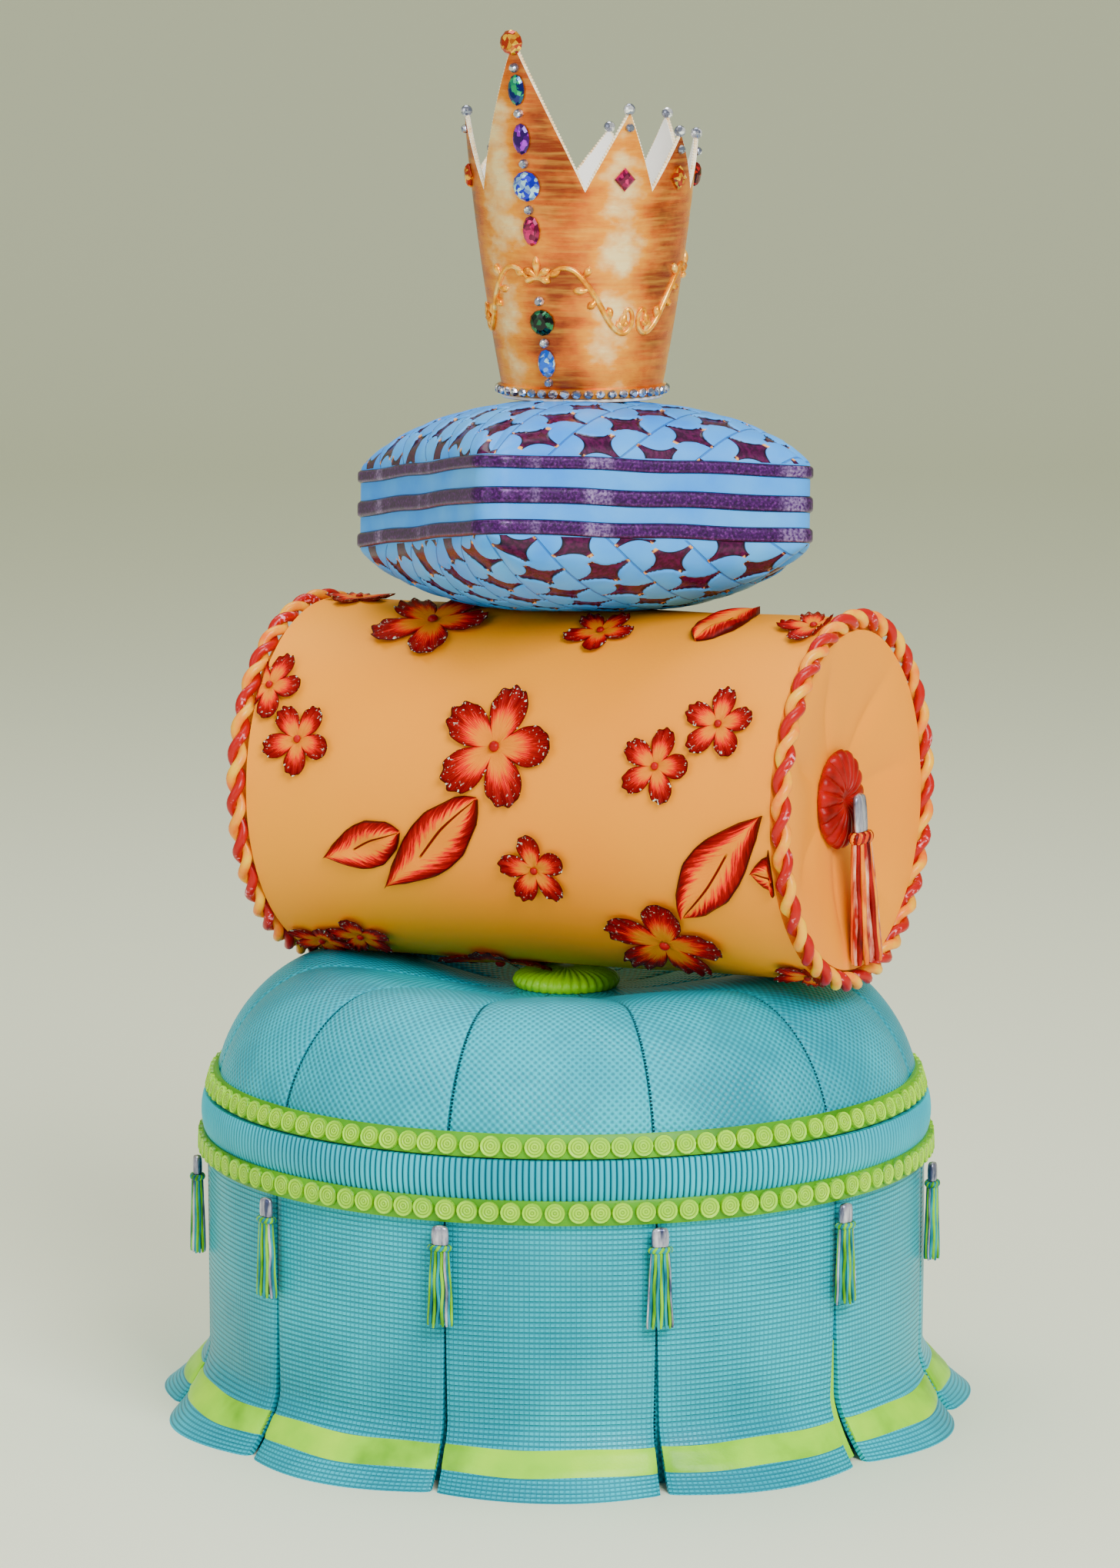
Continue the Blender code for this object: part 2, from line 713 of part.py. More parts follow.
for name, along, degrees, size, turn in FLOWERS:
    node(name, laid(*flower(size), along, degrees, turn), PETAL, BOLSTER, smooth=False)
for name, along, degrees, size, turn in LEAVES:
    node(name, laid(*leaf(size), along, degrees, turn), PETAL, BOLSTER, smooth=False)

# the flowers and the leaf that reach a rope are trimmed along it
ROPE_CLEAR = 0.1484
BLOCK = 0.06
AT_A_ROPE = (
    ("flower_rope_left", -1),
    ("flower_top_left", -1),
    ("flower_rope_right", 1),
    ("leaf_small_right", 1),
)
for name, side in AT_A_ROPE:
    trimmed = bpy.data.objects[name]
    bpy.ops.mesh.primitive_cube_add(size=BLOCK)
    block = bpy.context.object
    block.name = f"trim_{name}"
    block.parent = BOLSTER
    _, y, z = np.mean([v.co for v in trimmed.data.vertices], 0)
    block.matrix_local = Matrix.Translation((side * (ROPE_CLEAR + BLOCK / 2), y, z))
    cut(trimmed, block)


# ---------------------------------------------------------------- pillow

PILLOW_FRAME = (
    Matrix.Rotation(PILLOW_ROLL, 4, "Y")
    @ Matrix.Rotation(PILLOW_TILT, 4, "X")
    @ Matrix.Rotation(PILLOW_YAW, 4, "Z")
)
PILLOW = holder("pillow_frame", (TOWER_X, 0, PILLOW_Z), PILLOW_FRAME)


def rounded_reach(angle, half, corner):
    """How far a square with rounded corners reaches in a direction."""
    c, s = np.abs(np.cos(angle)), np.abs(np.sin(angle))
    straight = half / np.maximum(c, s)
    m = half - corner
    along = m * (c + s)
    arc = along + np.sqrt(np.maximum(along**2 - (2 * m * m - corner**2), 0))
    in_corner = np.minimum(c, s) * straight > m
    return np.where(in_corner, arc, straight)


def box_cushion(points):
    """A flat square slab becomes a crowned cushion with dents where its stars are."""
    x, y, z = points.T
    half = PILLOW_SIDE / 2
    angle = np.arctan2(y, x)
    square = half / np.maximum(np.abs(np.cos(angle)), np.abs(np.sin(angle)))
    pull = rounded_reach(angle, half, PILLOW_CORNER) / square
    u, v = np.abs(x / half), np.abs(y / half)
    crown = np.clip(1 - u**PILLOW_EDGE, 0, 1) * np.clip(1 - v**PILLOW_EDGE, 0, 1)
    steps = (x + y) / (PILLOW_SIDE / PILLOW_STEPS)
    dent = STAR_DENT * (np.abs((steps + 1) % 2 - 1) < DENT_REACH) * (crown > DENT_EDGE)
    rise = PILLOW_RISE * crown**PILLOW_POWER - dent
    return np.stack([x * pull, y * pull, z + np.sign(z) * rise], -1)


EDGE_STEP = 0.35  # the row of points next to the edge, in steps from it
SLAB_STEPS = [0, EDGE_STEP, *range(1, PILLOW_STEPS), PILLOW_STEPS - EDGE_STEP, PILLOW_STEPS]


def flat_slab(u, v):
    """A level square in even steps, with one more row of points close to each edge."""
    rows = np.arange(len(SLAB_STEPS))
    x, y = (np.interp(w * rows[-1], rows, SLAB_STEPS) / PILLOW_STEPS - 0.5 for w in (u, v))
    return np.stack([x * PILLOW_SIDE, y * PILLOW_SIDE, 0 * u], -1)


slab_rows = len(SLAB_STEPS) - 1
slab = sheet(slab_rows, slab_rows, flat_slab, PILLOW_BAND, offset=0.0)
pillow = node("pillow", shaped(slab, box_cushion), SKY, PILLOW)


CORNER_POINTS = 4


def stripe(low, high):
    """A flat ring round the pillow's side, with CORNER_POINTS points at each corner."""
    inner = PILLOW_CORNER + STRIPE_LIFT
    m = PILLOW_SIDE / 2 - PILLOW_CORNER
    turns = [pi / 2 * d / (CORNER_POINTS - 1) for d in range(CORNER_POINTS)]
    corners = [(k * pi / 2 + turn, k) for k in range(4) for turn in turns]
    middle = [(m * (1, -1, -1, 1)[k], m * (1, 1, -1, -1)[k]) for _, k in corners]

    def ring(reach, z):
        return [
            (cx + reach * cos(a), cy + reach * sin(a), z)
            for (cx, cy), (a, _) in zip(middle, corners)
        ]

    outer = inner + STRIPE_SHEET
    rings = [ring(inner, low), ring(outer, low), ring(outer, high), ring(inner, high)]
    count = len(corners)
    faces = []
    for k in range(4):
        for i in range(count):
            j = (i + 1) % count
            a, b = k * count, (k + 1) % 4 * count
            faces.append((a + i, a + j, b + j, b + i))
    mesh = bpy.data.meshes.new("stripe")
    mesh.from_pydata([p for r in rings for p in r], [], faces)
    return mesh


for name, low, high in STRIPES:
    node(name, stripe(low, high), PURPLE, PILLOW)


# ---------------------------------------------------------------- crown

CROWN = holder("crown_frame", (TOWER_X, 0, 0))


def crown_reach(z):
    """The crown's outer radius: it widens fast at its foot and more slowly above."""
    t = np.asarray(z) - CROWN_FOOT
    return CROWN_R + CROWN_FLARE * t - CROWN_BEND * t * t


FRONT = -pi / 2
LOW_TIP_ANGLE = (tau - TALL_TIP[2] + TALL_TIP[0]) / len(LOW_TIPS)
TALL_COLUMNS, LOW_COLUMNS = 6, 4


def tip_table():
    """The angle from the front and the share of a tip's height, at each column of the wall."""
    columns = []
    for i in range(TALL_COLUMNS):
        share = i / TALL_COLUMNS
        height = (1 - abs(2 * share - 1)) * (TALL_TIP_Z - VALLEY_Z)
        columns.append((np.interp(share, (0, 0.5, 1), TALL_TIP), height))
    for number, (top_z, lean) in enumerate(LOW_TIPS):
        for i in range(LOW_COLUMNS):
            share = i / LOW_COLUMNS
            up = 1 - abs(2 * share - 1)
            angle = TALL_TIP[2] + (number + share) * LOW_TIP_ANGLE + radians(lean) * up
            columns.append((angle, up * (top_z - VALLEY_Z)))
    columns.append((TALL_TIP[0] + tau, 0.0))
    return np.array(columns)


TIPS = tip_table()
RIM_TOP = CROWN_FOOT + CROWN_RIM_H
# height of each row of the wall, and how far it stands out
CROWN_ROWS = (
    (CROWN_FOOT, CROWN_RIM),
    (RIM_TOP, CROWN_RIM),
    (RIM_TOP + CROWN_RIM_STEP, 0.0),
    (CROWN_MIDDLE, 0.0),
    (VALLEY_Z, 0.0),
)


def crown_place(u, v):
    """u runs once round the crown from the tall tip's left foot, v up the wall."""
    column = u * (len(TIPS) - 1)
    angle = np.interp(column, np.arange(len(TIPS)), TIPS[:, 0]) + FRONT
    tip = np.interp(column, np.arange(len(TIPS)), TIPS[:, 1])
    row = v * len(CROWN_ROWS)
    level = np.arange(len(CROWN_ROWS))
    z = np.interp(row, level, [r[0] for r in CROWN_ROWS])
    stand = np.interp(row, level, [r[1] for r in CROWN_ROWS])
    z = z + np.where(row > len(CROWN_ROWS) - 0.5, tip, 0)
    r = crown_reach(z) + stand
    return np.stack([r * np.cos(angle), r * np.sin(angle), z], -1)


crown_wall = sheet(len(TIPS) - 1, len(CROWN_ROWS), crown_place, CROWN_WALL)
crown = node("crown", crown_wall, GOLD, CROWN)


def wall_lean(z):
    """How far the crown's wall leans outwards at a height."""
    step = 0.001
    return float(np.arctan((crown_reach(z + step) - crown_reach(z - step)) / (2 * step)))


STONES = collection("stones")


def stone(name, z, angle, half_width, half_height, depth, sides=8):
    """A cut stone, half sunk in the crown's outer face."""
    bpy.ops.mesh.primitive_cone_add(vertices=sides, radius1=1.0, radius2=0.6, depth=1.0)
    made = bpy.context.object
    made.name = name
    angle += FRONT
    lean = wall_lean(z)
    face = Matrix.Rotation(angle, 4, "Z") @ Matrix.Rotation(pi / 2 - lean, 4, "Y")
    size = Matrix.Diagonal((half_height, half_width, depth, 1.0))
    r = float(crown_reach(z)) + depth * STONE_SUNK
    spot = Matrix.Translation((TOWER_X + r * cos(angle), r * sin(angle), z))
    made.data.transform(spot @ face @ size)
    for home in list(made.users_collection):
        home.objects.unlink(made)
    STONES.objects.link(made)


def spine_angle(z):
    """The row of stones down the tall tip leans a little."""
    low_z, low_degrees = SPINE_FOOT
    return radians(low_degrees + SPINE_LEAN * (z - low_z))


for number, (z, half_width, half_height) in enumerate(SPINE_STONES):
    stone(f"spine_stone_{number}", z, spine_angle(z), half_width, half_height, STONE_DEPTH)
stone("top_stone", TALL_TIP_Z, TALL_TIP[1], TOP_STONE_R, TOP_STONE_R, TOP_STONE_DEPTH)
for number, (top_z, lean) in enumerate(LOW_TIPS):
    angle = TALL_TIP[2] + (number + 0.5) * LOW_TIP_ANGLE + radians(lean)
    z = top_z + TIP_BALL_UP
    stone(f"tip_ball_{number}", z, angle, TIP_BALL_R, TIP_BALL_R, 2 * TIP_BALL_R, 6)

joined = crown.modifiers.new("stones", "BOOLEAN")
joined.operation = "UNION"
joined.operand_type = "COLLECTION"
joined.collection = STONES
graph = bpy.context.evaluated_depsgraph_get()
with_stones = bpy.data.meshes.new_from_object(crown.evaluated_get(graph))
crown.modifiers.clear()
crown.data = with_stones
for made in list(STONES.objects):
    bpy.data.objects.remove(made, do_unlink=True)
bpy.data.collections.remove(STONES)

plate_profile = [
    (0.0, PLATE_HIGH),
    (PLATE_R, PLATE_HIGH),
    (PLATE_R, PLATE_LOW),
    (PLUG_R, PLATE_LOW),
    (PLUG_R, PLUG_LOW),
    (0.0, PLUG_LOW),
]
node("crown_plate", turned(plate_profile, PLATE_STEPS), WHITE, CROWN)


# ---------------------------------------------------------------- hollows where tiers sit in each other

PRESS = 0.0009  # the hollows are this much wider than what sits in them
PILLOW_PRESS = 0.0011  # the pillow bends less, so its own is wider
BAR_SIDES = 64


def rest_hollow(target, name, radius, depth, frame):
    """Takes a round bar's shape, with room round it, out of the target."""
    bpy.ops.mesh.primitive_cylinder_add(vertices=BAR_SIDES, radius=radius, depth=depth)
    made = bpy.context.object
    made.name = name
    made.data.transform(frame)
    cut(target, made)


bolster_bar = Matrix.Translation((TOWER_X, 0, BOLSTER_Z)) @ BOLSTER_FRAME @ LIE_ALONG_X
rest_hollow(top, "bolster_on_pouf", BOLSTER_R + PRESS, 2 * BOLSTER_HALF, bolster_bar)
ROPE_REACH = STRAND_OFFSET + STRAND_R + PRESS
for side, end in ((-1, "left"), (1, "right")):
    rope_disc = bolster_bar @ Matrix.Translation((0, 0, side * ROPE_AT))
    rest_hollow(top, f"rope_{end}_on_pouf", ROPE_RING_R + ROPE_REACH, 2 * ROPE_REACH, rope_disc)
rest_hollow(pillow, "bolster_in_pillow", BOLSTER_R + PILLOW_PRESS, 2 * BOLSTER_HALF, bolster_bar)
HOLLOW_H = 0.04
for name, radius, low in (("plate", PLATE_R, PLATE_LOW), ("plug", PLUG_R, PLUG_LOW)):
    bar = Matrix.Translation((TOWER_X, 0, low - TOUCH + HOLLOW_H / 2))
    rest_hollow(pillow, f"{name}_in_pillow", radius + PRESS, HOLLOW_H, bar)
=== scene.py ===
# %% [markdown]
# # A cake made like a stack of soft furniture
# The real cake is four covered tiers: a tasselled pouf, a lying bolster, a box pillow and a crown.
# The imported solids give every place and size. This lesson dresses them: each piece is a surface
# worked out with numpy, a function of two parameters on a grid, because sugar paste is rolled,
# bent and pressed in just such simple ways, and a formula can be read and changed.

from math import cos, pi, radians, sin, tau

import bmesh
import bpy
import numpy as np
from mathutils import Matrix, Vector


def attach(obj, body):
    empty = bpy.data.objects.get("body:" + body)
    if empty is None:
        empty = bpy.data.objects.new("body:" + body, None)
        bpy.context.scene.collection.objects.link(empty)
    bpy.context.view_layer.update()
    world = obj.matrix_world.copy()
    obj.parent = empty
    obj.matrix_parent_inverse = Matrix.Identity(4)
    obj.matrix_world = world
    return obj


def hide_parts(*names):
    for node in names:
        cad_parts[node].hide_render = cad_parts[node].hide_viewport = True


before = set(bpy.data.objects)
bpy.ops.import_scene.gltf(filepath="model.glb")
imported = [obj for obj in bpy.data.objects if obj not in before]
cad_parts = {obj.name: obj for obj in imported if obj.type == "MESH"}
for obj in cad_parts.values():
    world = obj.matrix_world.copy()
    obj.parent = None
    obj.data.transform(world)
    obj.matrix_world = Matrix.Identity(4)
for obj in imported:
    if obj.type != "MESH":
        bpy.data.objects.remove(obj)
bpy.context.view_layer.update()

# %% [markdown]
# ## From grids of points to pieces
# A grid of points is an array of rows and columns. Its faces are the little squares between
# neighbours, so the whole mesh comes from index arithmetic, with no loop over points. Where a
# grid runs round and meets itself, or shrinks to a pole, the doubled points are merged, which
# closes it. The sign of its volume says if the faces look outwards.

# %% Helpers for grids
MERGE, SHARP = 0.000001, radians(50)


def smooth(share):
    """0 to 1 with flat ends: 3 s^2 - 2 s^3."""
    share = np.clip(share, 0.0, 1.0)
    return share * share * (3 - 2 * share)


def mixed(a, b, share):
    """The value a share of the way from a to b."""
    return a + (b - a) * share


def unit(vectors):
    """Vectors of length one."""
    return vectors / np.maximum(np.linalg.norm(vectors, axis=-1, keepdims=True), 1e-12)


def joined(*parts):
    """Arrays stretched to one shape, as the numbers of each point."""
    return np.stack(np.broadcast_arrays(*parts), -1)


def stacked(*parts):
    """Grids one below another, or lists end to end."""
    return np.concatenate(parts, 0)


def row(low, high, count):
    """Even values along the columns of a grid."""
    return np.linspace(low, high, count)[None, :]


def column(low, high, count):
    """Even values down the rows of a grid."""
    return np.linspace(low, high, count)[:, None]


def travelled(path):
    """The length of a path up to each of its points."""
    return np.append(0, np.cumsum(np.linalg.norm(np.diff(path, axis=0), axis=-1)))


def normals(grid):
    """Unit normals of a grid: its direction along the columns times that along the rows."""
    return unit(np.cross(np.gradient(grid, axis=-2), np.gradient(grid, axis=-3)))

# %% [markdown]
# The faces of a grid are counted out in rows. If they look inwards is told by the volume they
# close in, which is then negative. A sheet with a thickness is a front and a back grid, joined
# into one that closes on itself.

# %% Faces of a grid
def squares(rows, columns):
    """The corner numbers of each little square of a grid."""
    index = np.arange(rows * columns).reshape(rows, columns)
    corners = (index[:-1, :-1], index[:-1, 1:], index[1:, 1:], index[1:, :-1])
    return np.stack(corners, -1).reshape(-1, 4)


def volume_sign(points, faces):
    """Positive when the faces of a closed grid look outwards: a sum of a.(b x c)."""
    a, b, c, d = (points[faces[:, k]] for k in range(4))
    return np.sum(a * np.cross(b, c)) + np.sum(a * np.cross(c, d))


def slab(outer, inner, plan):
    """One closed grid from two faces: over the outer face, round its edge and back under."""
    grid = stacked(outer, inner[::-1], outer[:1])
    plan = stacked(plan, plan[::-1], plan[:1])
    half_way = (outer + inner) / 2
    ends = [stacked(half_way[:, c], half_way[::-1, c], half_way[:1, c]) for c in (0, -1)]
    grid = np.concatenate([ends[0][:, None], grid, ends[1][:, None]], 1)
    return grid, np.concatenate([plan[:, :1], plan, plan[:, -1:]], 1)


def merge_doubles(mesh):
    """Merges doubled points, which closes seams and poles."""
    work = bmesh.new()
    work.from_mesh(mesh)
    bmesh.ops.remove_doubles(work, verts=work.verts, dist=MERGE)
    bmesh.ops.dissolve_degenerate(work, dist=MERGE / 10, edges=work.edges)
    work.to_mesh(mesh)
    work.free()

# %% [markdown]
# Every piece is made by one function. It takes sheets: points, their plan, which says where on
# the paste each point lies, and a look. It fills the mesh with whole arrays, closes it, gives it
# its looks and hangs it on the cake.

# %% Build a piece
def build(name, sheets, looks, slot, stands_for=(), sharp=SHARP, centre=None):
    """Joins closed grids into one piece that rides on the cake.

    Each sheet is (grid, plan, look): points, their place on the paste in two or four numbers,
    and the number of its material, or one number for each row of squares. Without a look it is
    0. A grid with four axes is many sheets of one shape.
    """
    parts = []
    start = 0
    for grid, plan, *look in sheets:
        rows, columns = grid.shape[-3:-1]
        grid = grid.reshape(-1, rows * columns, 3)
        width = plan.shape[-1]
        plan = np.broadcast_to(plan.reshape(-1, rows * columns, width), (*grid.shape[:2], width))
        faces = squares(rows, columns)
        middle = grid[0].mean(0) if centre is None else centre
        if volume_sign(grid[0] - middle, faces) < 0:
            faces = faces[:, ::-1]
        shift = start + np.arange(len(grid)) * rows * columns
        faces = (faces[None] + shift[:, None, None]).reshape(-1, 4)
        by_row = np.repeat(np.broadcast_to(look[0] if look else 0, rows - 1), columns - 1)
        parts.append((grid.reshape(-1, 3), faces, np.tile(by_row, len(grid)), plan.reshape(-1, width)))
        start += len(parts[-1][0])
    points, faces, numbers, plans = (stacked(*part) for part in zip(*parts))
    mesh = bpy.data.meshes.new(name)
    mesh.vertices.add(len(points))
    mesh.vertices.foreach_set("co", points.astype(np.float32).ravel())
    mesh.loops.add(faces.size)
    mesh.loops.foreach_set("vertex_index", faces.astype(np.int32).ravel())
    mesh.polygons.add(len(faces))
    mesh.polygons.foreach_set("loop_start", np.arange(0, faces.size, 4, dtype=np.int32))
    mesh.polygons.foreach_set("material_index", numbers.astype(np.int32))
    for k, layer in enumerate(("plan", "edge")[: plans.shape[-1] // 2]):
        uv = mesh.uv_layers.new(name=layer)
        uv.data.foreach_set("uv", plans[faces.ravel(), 2 * k : 2 * k + 2].astype(np.float32).ravel())
    mesh.update(calc_edges=True)
    mesh.validate()
    merge_doubles(mesh)
    mesh.shade_smooth()
    mesh.set_sharp_from_angle(angle=sharp)
    for look in looks:
        mesh.materials.append(look)
    piece = bpy.data.objects.new(name, mesh)
    bpy.context.scene.collection.objects.link(piece)
    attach(piece, "root")
    if stands_for:
        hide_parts(*stands_for)
    print(name, sum(len(p.vertices) - 2 for p in mesh.polygons), "triangles")


def dress(node, sheets, looks, slot, **more):
    """A piece that is named for one of the solids, and stands in its place."""
    build(f"{node}_paste", sheets, looks, slot, [node], **more)

# %% [markdown]
# Strands and scrolls are bars. A circle of points stands square to a path at each of its points,
# for one path or for many at a time.

# %% A bar along a path
def tube(path, radius, side, sides=8):
    """A round bar carried along a path, its ends drawn in to points.

    path has the shape (..., n, 3). side gives, at each point or for all, a direction that is
    not along the path: ring = path + radius (cos a across + sin a upright).
    """
    along = unit(np.gradient(path, axis=-2))
    across = unit(np.cross(along, np.broadcast_to(side, path.shape)))
    upright = np.cross(across, along)
    angle = np.linspace(0, tau, sides + 1)
    radius = np.broadcast_to(radius, path.shape[:-1])[..., None, None]
    turn = np.cos(angle)[:, None] * across[..., None, :] + np.sin(angle)[:, None] * upright[..., None, :]
    rings = path[..., None, :] + radius * turn
    ends = rings[..., [0, -1], :, :].mean(-2, keepdims=True) + 0 * rings[..., [0, -1], :, :]
    grid = np.concatenate([ends[..., :1, :, :], rings, ends[..., 1:, :, :]], -3)
    length = travelled(path.reshape(-1, *path.shape[-2:])[0])
    return grid, joined(angle / tau, stacked(length[:1], length, length[-1:])[:, None])


# %% [markdown]
# ## Looks made of nodes
# Every finish is a small network: a pattern node reads where it is on the piece, a ramp turns
# the pattern into colour and a bump turns it into relief. A class keeps the wiring short.

# %% A helper for materials
VIVID = 1.45  # how much deeper a pigment is than its colour in a picture


def tint(red, green, blue):
    """A colour in the 0 to 255 numbers of a picture, as the deeper pigment that gives it."""
    light = (np.array([red, green, blue]) / 255) ** 2.2
    pigment = np.clip(light.mean() + (light - light.mean()) * VIVID, 0.0, 1.0)
    return (*pigment.tolist(), 1.0)


class Look:
    """A material under construction."""

    def __init__(self, name, roughness=0.45, **uniform):
        self.material = bpy.data.materials.new(name)
        self.material.use_nodes = True
        self.tree = self.material.node_tree
        self.shader = self.tree.nodes["Principled BSDF"]
        for key, value in {"Roughness": roughness, **uniform}.items():
            self.shader.inputs[key.replace("_", " ")].default_value = value

    def put(self, socket, value):
        """Links a socket, or sets it to a number or to the pigment of a colour."""
        if isinstance(value, bpy.types.NodeSocket):
            self.tree.links.new(value, socket)
        else:
            socket.default_value = tint(*value) if socket.type == "RGBA" else value

    def node(self, kind, inputs=(), **settings):
        """Adds a node and returns it."""
        made = self.tree.nodes.new("ShaderNode" + kind)
        for key, value in settings.items():
            setattr(made, key, value)
        for key, value in dict(inputs).items():
            self.put(made.inputs[key], value)
        return made

    def place(self, layer=None, scale=(1, 1, 1)):
        """Where we are: object coordinates, or a layer of the piece's own plan."""
        if layer:
            source = self.node("UVMap", uv_map=layer).outputs["UV"]
        else:
            source = self.node("TexCoord").outputs["Object"]
        return self.node("Mapping", {"Vector": source, "Scale": scale}).outputs["Vector"]

    def split(self, vector):
        """The x, y and z of a vector."""
        return self.node("SeparateXYZ", {"Vector": vector}).outputs

    def plan(self, layer="plan"):
        """The two numbers of a layer of the piece's own plan."""
        return self.split(self.place(layer))[:2]

    def spot(self, x, y=0.0):
        """A place to read a pattern at, from two numbers."""
        return self.node("CombineXYZ", {"X": x, "Y": y}).outputs["Vector"]

    def math(self, operation, a, b=0.0, c=0.0):
        """One sum on numbers or sockets."""
        made = self.node("Math", operation=operation)
        for socket, value in zip(made.inputs, (a, b, c)):
            self.put(socket, value)
        return made.outputs[0]

    def times(self, a, b):
        """a x b."""
        return self.math("MULTIPLY", a, b)

    def plus(self, a, b):
        """a + b."""
        return self.math("ADD", a, b)

    def minus(self, a, b):
        """a - b."""
        return self.math("SUBTRACT", a, b)

    def size(self, a):
        """a without its sign."""
        return self.math("ABSOLUTE", a)

    def noise(self, vector, scale, detail=3.0, roughness=0.5):
        """Cloudy noise from 0 to 1."""
        inputs = {"Vector": vector, "Scale": scale, "Detail": detail, "Roughness": roughness}
        return self.node("TexNoise", inputs).outputs["Fac"]

    def ramp(self, value, stops):
        """A colour for each value: stops are (position, colour)."""
        made = self.node("ValToRGB", {"Fac": value})
        while len(made.color_ramp.elements) < len(stops):
            made.color_ramp.elements.new(0.5)
        for element, (position, colour) in zip(made.color_ramp.elements, stops):
            element.position = position
            element.color = tint(*colour)
        return made.outputs["Color"]

    def grade(self, value, low, high, out_low=0.0, out_high=1.0):
        """A number moved smoothly from one range to another."""
        names = ("From Min", "From Max", "To Min", "To Max")
        inputs = {"Value": value, **dict(zip(names, (low, high, out_low, out_high)))}
        return self.node("MapRange", inputs, interpolation_type="SMOOTHSTEP").outputs["Result"]

    def mix(self, share, a, b):
        """Two colours mixed."""
        made = self.node("Mix", data_type="RGBA")
        for socket, value in zip((made.inputs[0], made.inputs[6], made.inputs[7]), (share, a, b)):
            self.put(socket, value)
        return made.outputs[2]

    def colour(self, value):
        """Sets the base colour."""
        self.put(self.shader.inputs["Base Color"], value)

    def rough(self, value):
        """Sets a roughness that varies."""
        self.put(self.shader.inputs["Roughness"], value)

    def bump(self, height, distance):
        """Adds relief; a second call lies on top of the first."""
        made = self.node("Bump", {"Height": height, "Distance": distance, "Strength": 1.0})
        normal = self.shader.inputs["Normal"]
        if normal.is_linked:
            self.tree.links.new(normal.links[0].from_socket, made.inputs["Normal"])
        self.tree.links.new(made.outputs["Normal"], normal)


# %% [markdown]
# ## Teal paste with a woven emboss
# The lowest tier is covered in paste rolled with a textured pin: little squares stand proud and
# the dents between them are painted darker, as painted shade. The pattern lies flat on each
# panel, so it reads the panel's own plan, in metres. It could be modelled, but threads of two
# millimetres over a whole tier need millions of faces, so it is a bump.

# %% Teal looks
TEAL_LIGHT, TEAL, TEAL_DEEP = (0, 190, 208), (0, 158, 176), (0, 88, 102)
WEAVE, FINE_WEAVE, STITCH = 0.00265, 0.0041, 0.0019  # widths of one repeat


def woven(name, pitch, staggered, seam=False):
    """Teal paste with dents in even rows, or in staggered ones like a cloth's."""
    look = Look(name, roughness=0.34, Specular_IOR_Level=0.2)
    x, y, _ = look.split(look.place("plan", (tau / pitch, tau / pitch, 1)))
    wave_x, wave_y = look.math("COSINE", x), look.math("COSINE", y)
    if staggered:
        weave = look.math("MULTIPLY_ADD", look.times(wave_x, wave_y), 0.5, 0.5)
    else:
        groove_x = look.grade(wave_x, 0.30, 0.98, 1, 0.40)
        groove_y = look.grade(wave_y, 0.10, 0.98, 1, 0)
        weave = look.times(groove_x, groove_y)
    place = look.place()
    cloud = look.noise(place, 9.0, 4.0)
    worn = look.grade(look.noise(place, 24.0), 0.35, 0.65, 0.45, 1.0)
    height = look.times(weave, worn)
    body = look.mix(look.grade(cloud, 0.35, 0.68), TEAL, TEAL_LIGHT)
    # painted shade: the dents of the weave are darkened towards deep teal
    shade = look.grade(height, 0.0, 0.6, 0.62, 0.0)
    colour = look.mix(shade, body, TEAL_DEEP)
    if seam:
        away, run = look.plan("edge")
        dash = look.math("PINGPONG", run, STITCH / 2)
        # painted shade: the stitch holes along the seam are darkened
        hole = look.times(look.grade(dash, 0.0003, 0.0006), look.grade(away, 0.0003, 0.0007, 1, 0))
        colour = look.mix(hole, colour, (0, 62, 74))
        height = look.minus(height, look.times(hole, 2.0))
    look.colour(colour)
    look.bump(height, 0.0009)
    look.bump(look.noise(place, 900.0, 2.0), 0.00006)
    return look.material


DOME_WEAVE = woven("teal_paste_fine_weave", FINE_WEAVE, True, seam=True)
SKIRT_WEAVE = woven("teal_paste_square_weave", WEAVE, False)


def plain_paste(name, base, light, deep, roughness=0.42, cloud=12.0, fine=0.00006, **uniform):
    """Smooth rolled paste: a soft cloud of two tones and a powdery fine relief."""
    look = Look(name, roughness=roughness, **{"Specular_IOR_Level": 0.3, **uniform})
    place = look.place()
    tone = look.noise(place, cloud, 4.0)
    look.colour(look.ramp(tone, ((0.28, deep), (0.5, base), (0.72, light))))
    look.bump(look.noise(place, 700.0, 2.0), fine)
    return look.material


print("teal looks:", DOME_WEAVE.name, SKIRT_WEAVE.name)

# %% [markdown]
# ## Lime paste
# The trims, ribbon and button are yellow green paste, a little glossier than the teal. The
# pressed discs carry fine rings, read from each disc's own plan, whose middle is zero. Painted
# shade darkens the grooves between the rings and each disc's edge.

# %% Lime looks
LIME_LIGHT, LIME, LIME_DEEP = (186, 234, 40), (154, 212, 0), (80, 132, 0)
RING = 0.0015  # from one ring of a disc to the next
LIME_SMOOTH = plain_paste("lime_smooth", LIME, LIME_LIGHT, LIME_DEEP, 0.36, 20.0, 0.00008)
# the strip under the discs is painted a deeper lime: painted shade in the gaps between the discs
LIME_STRIP_SHADED = plain_paste("lime_strip_shaded", (84, 142, 0), (104, 164, 0), (64, 112, 0), 0.4, 20.0, 0.00008)


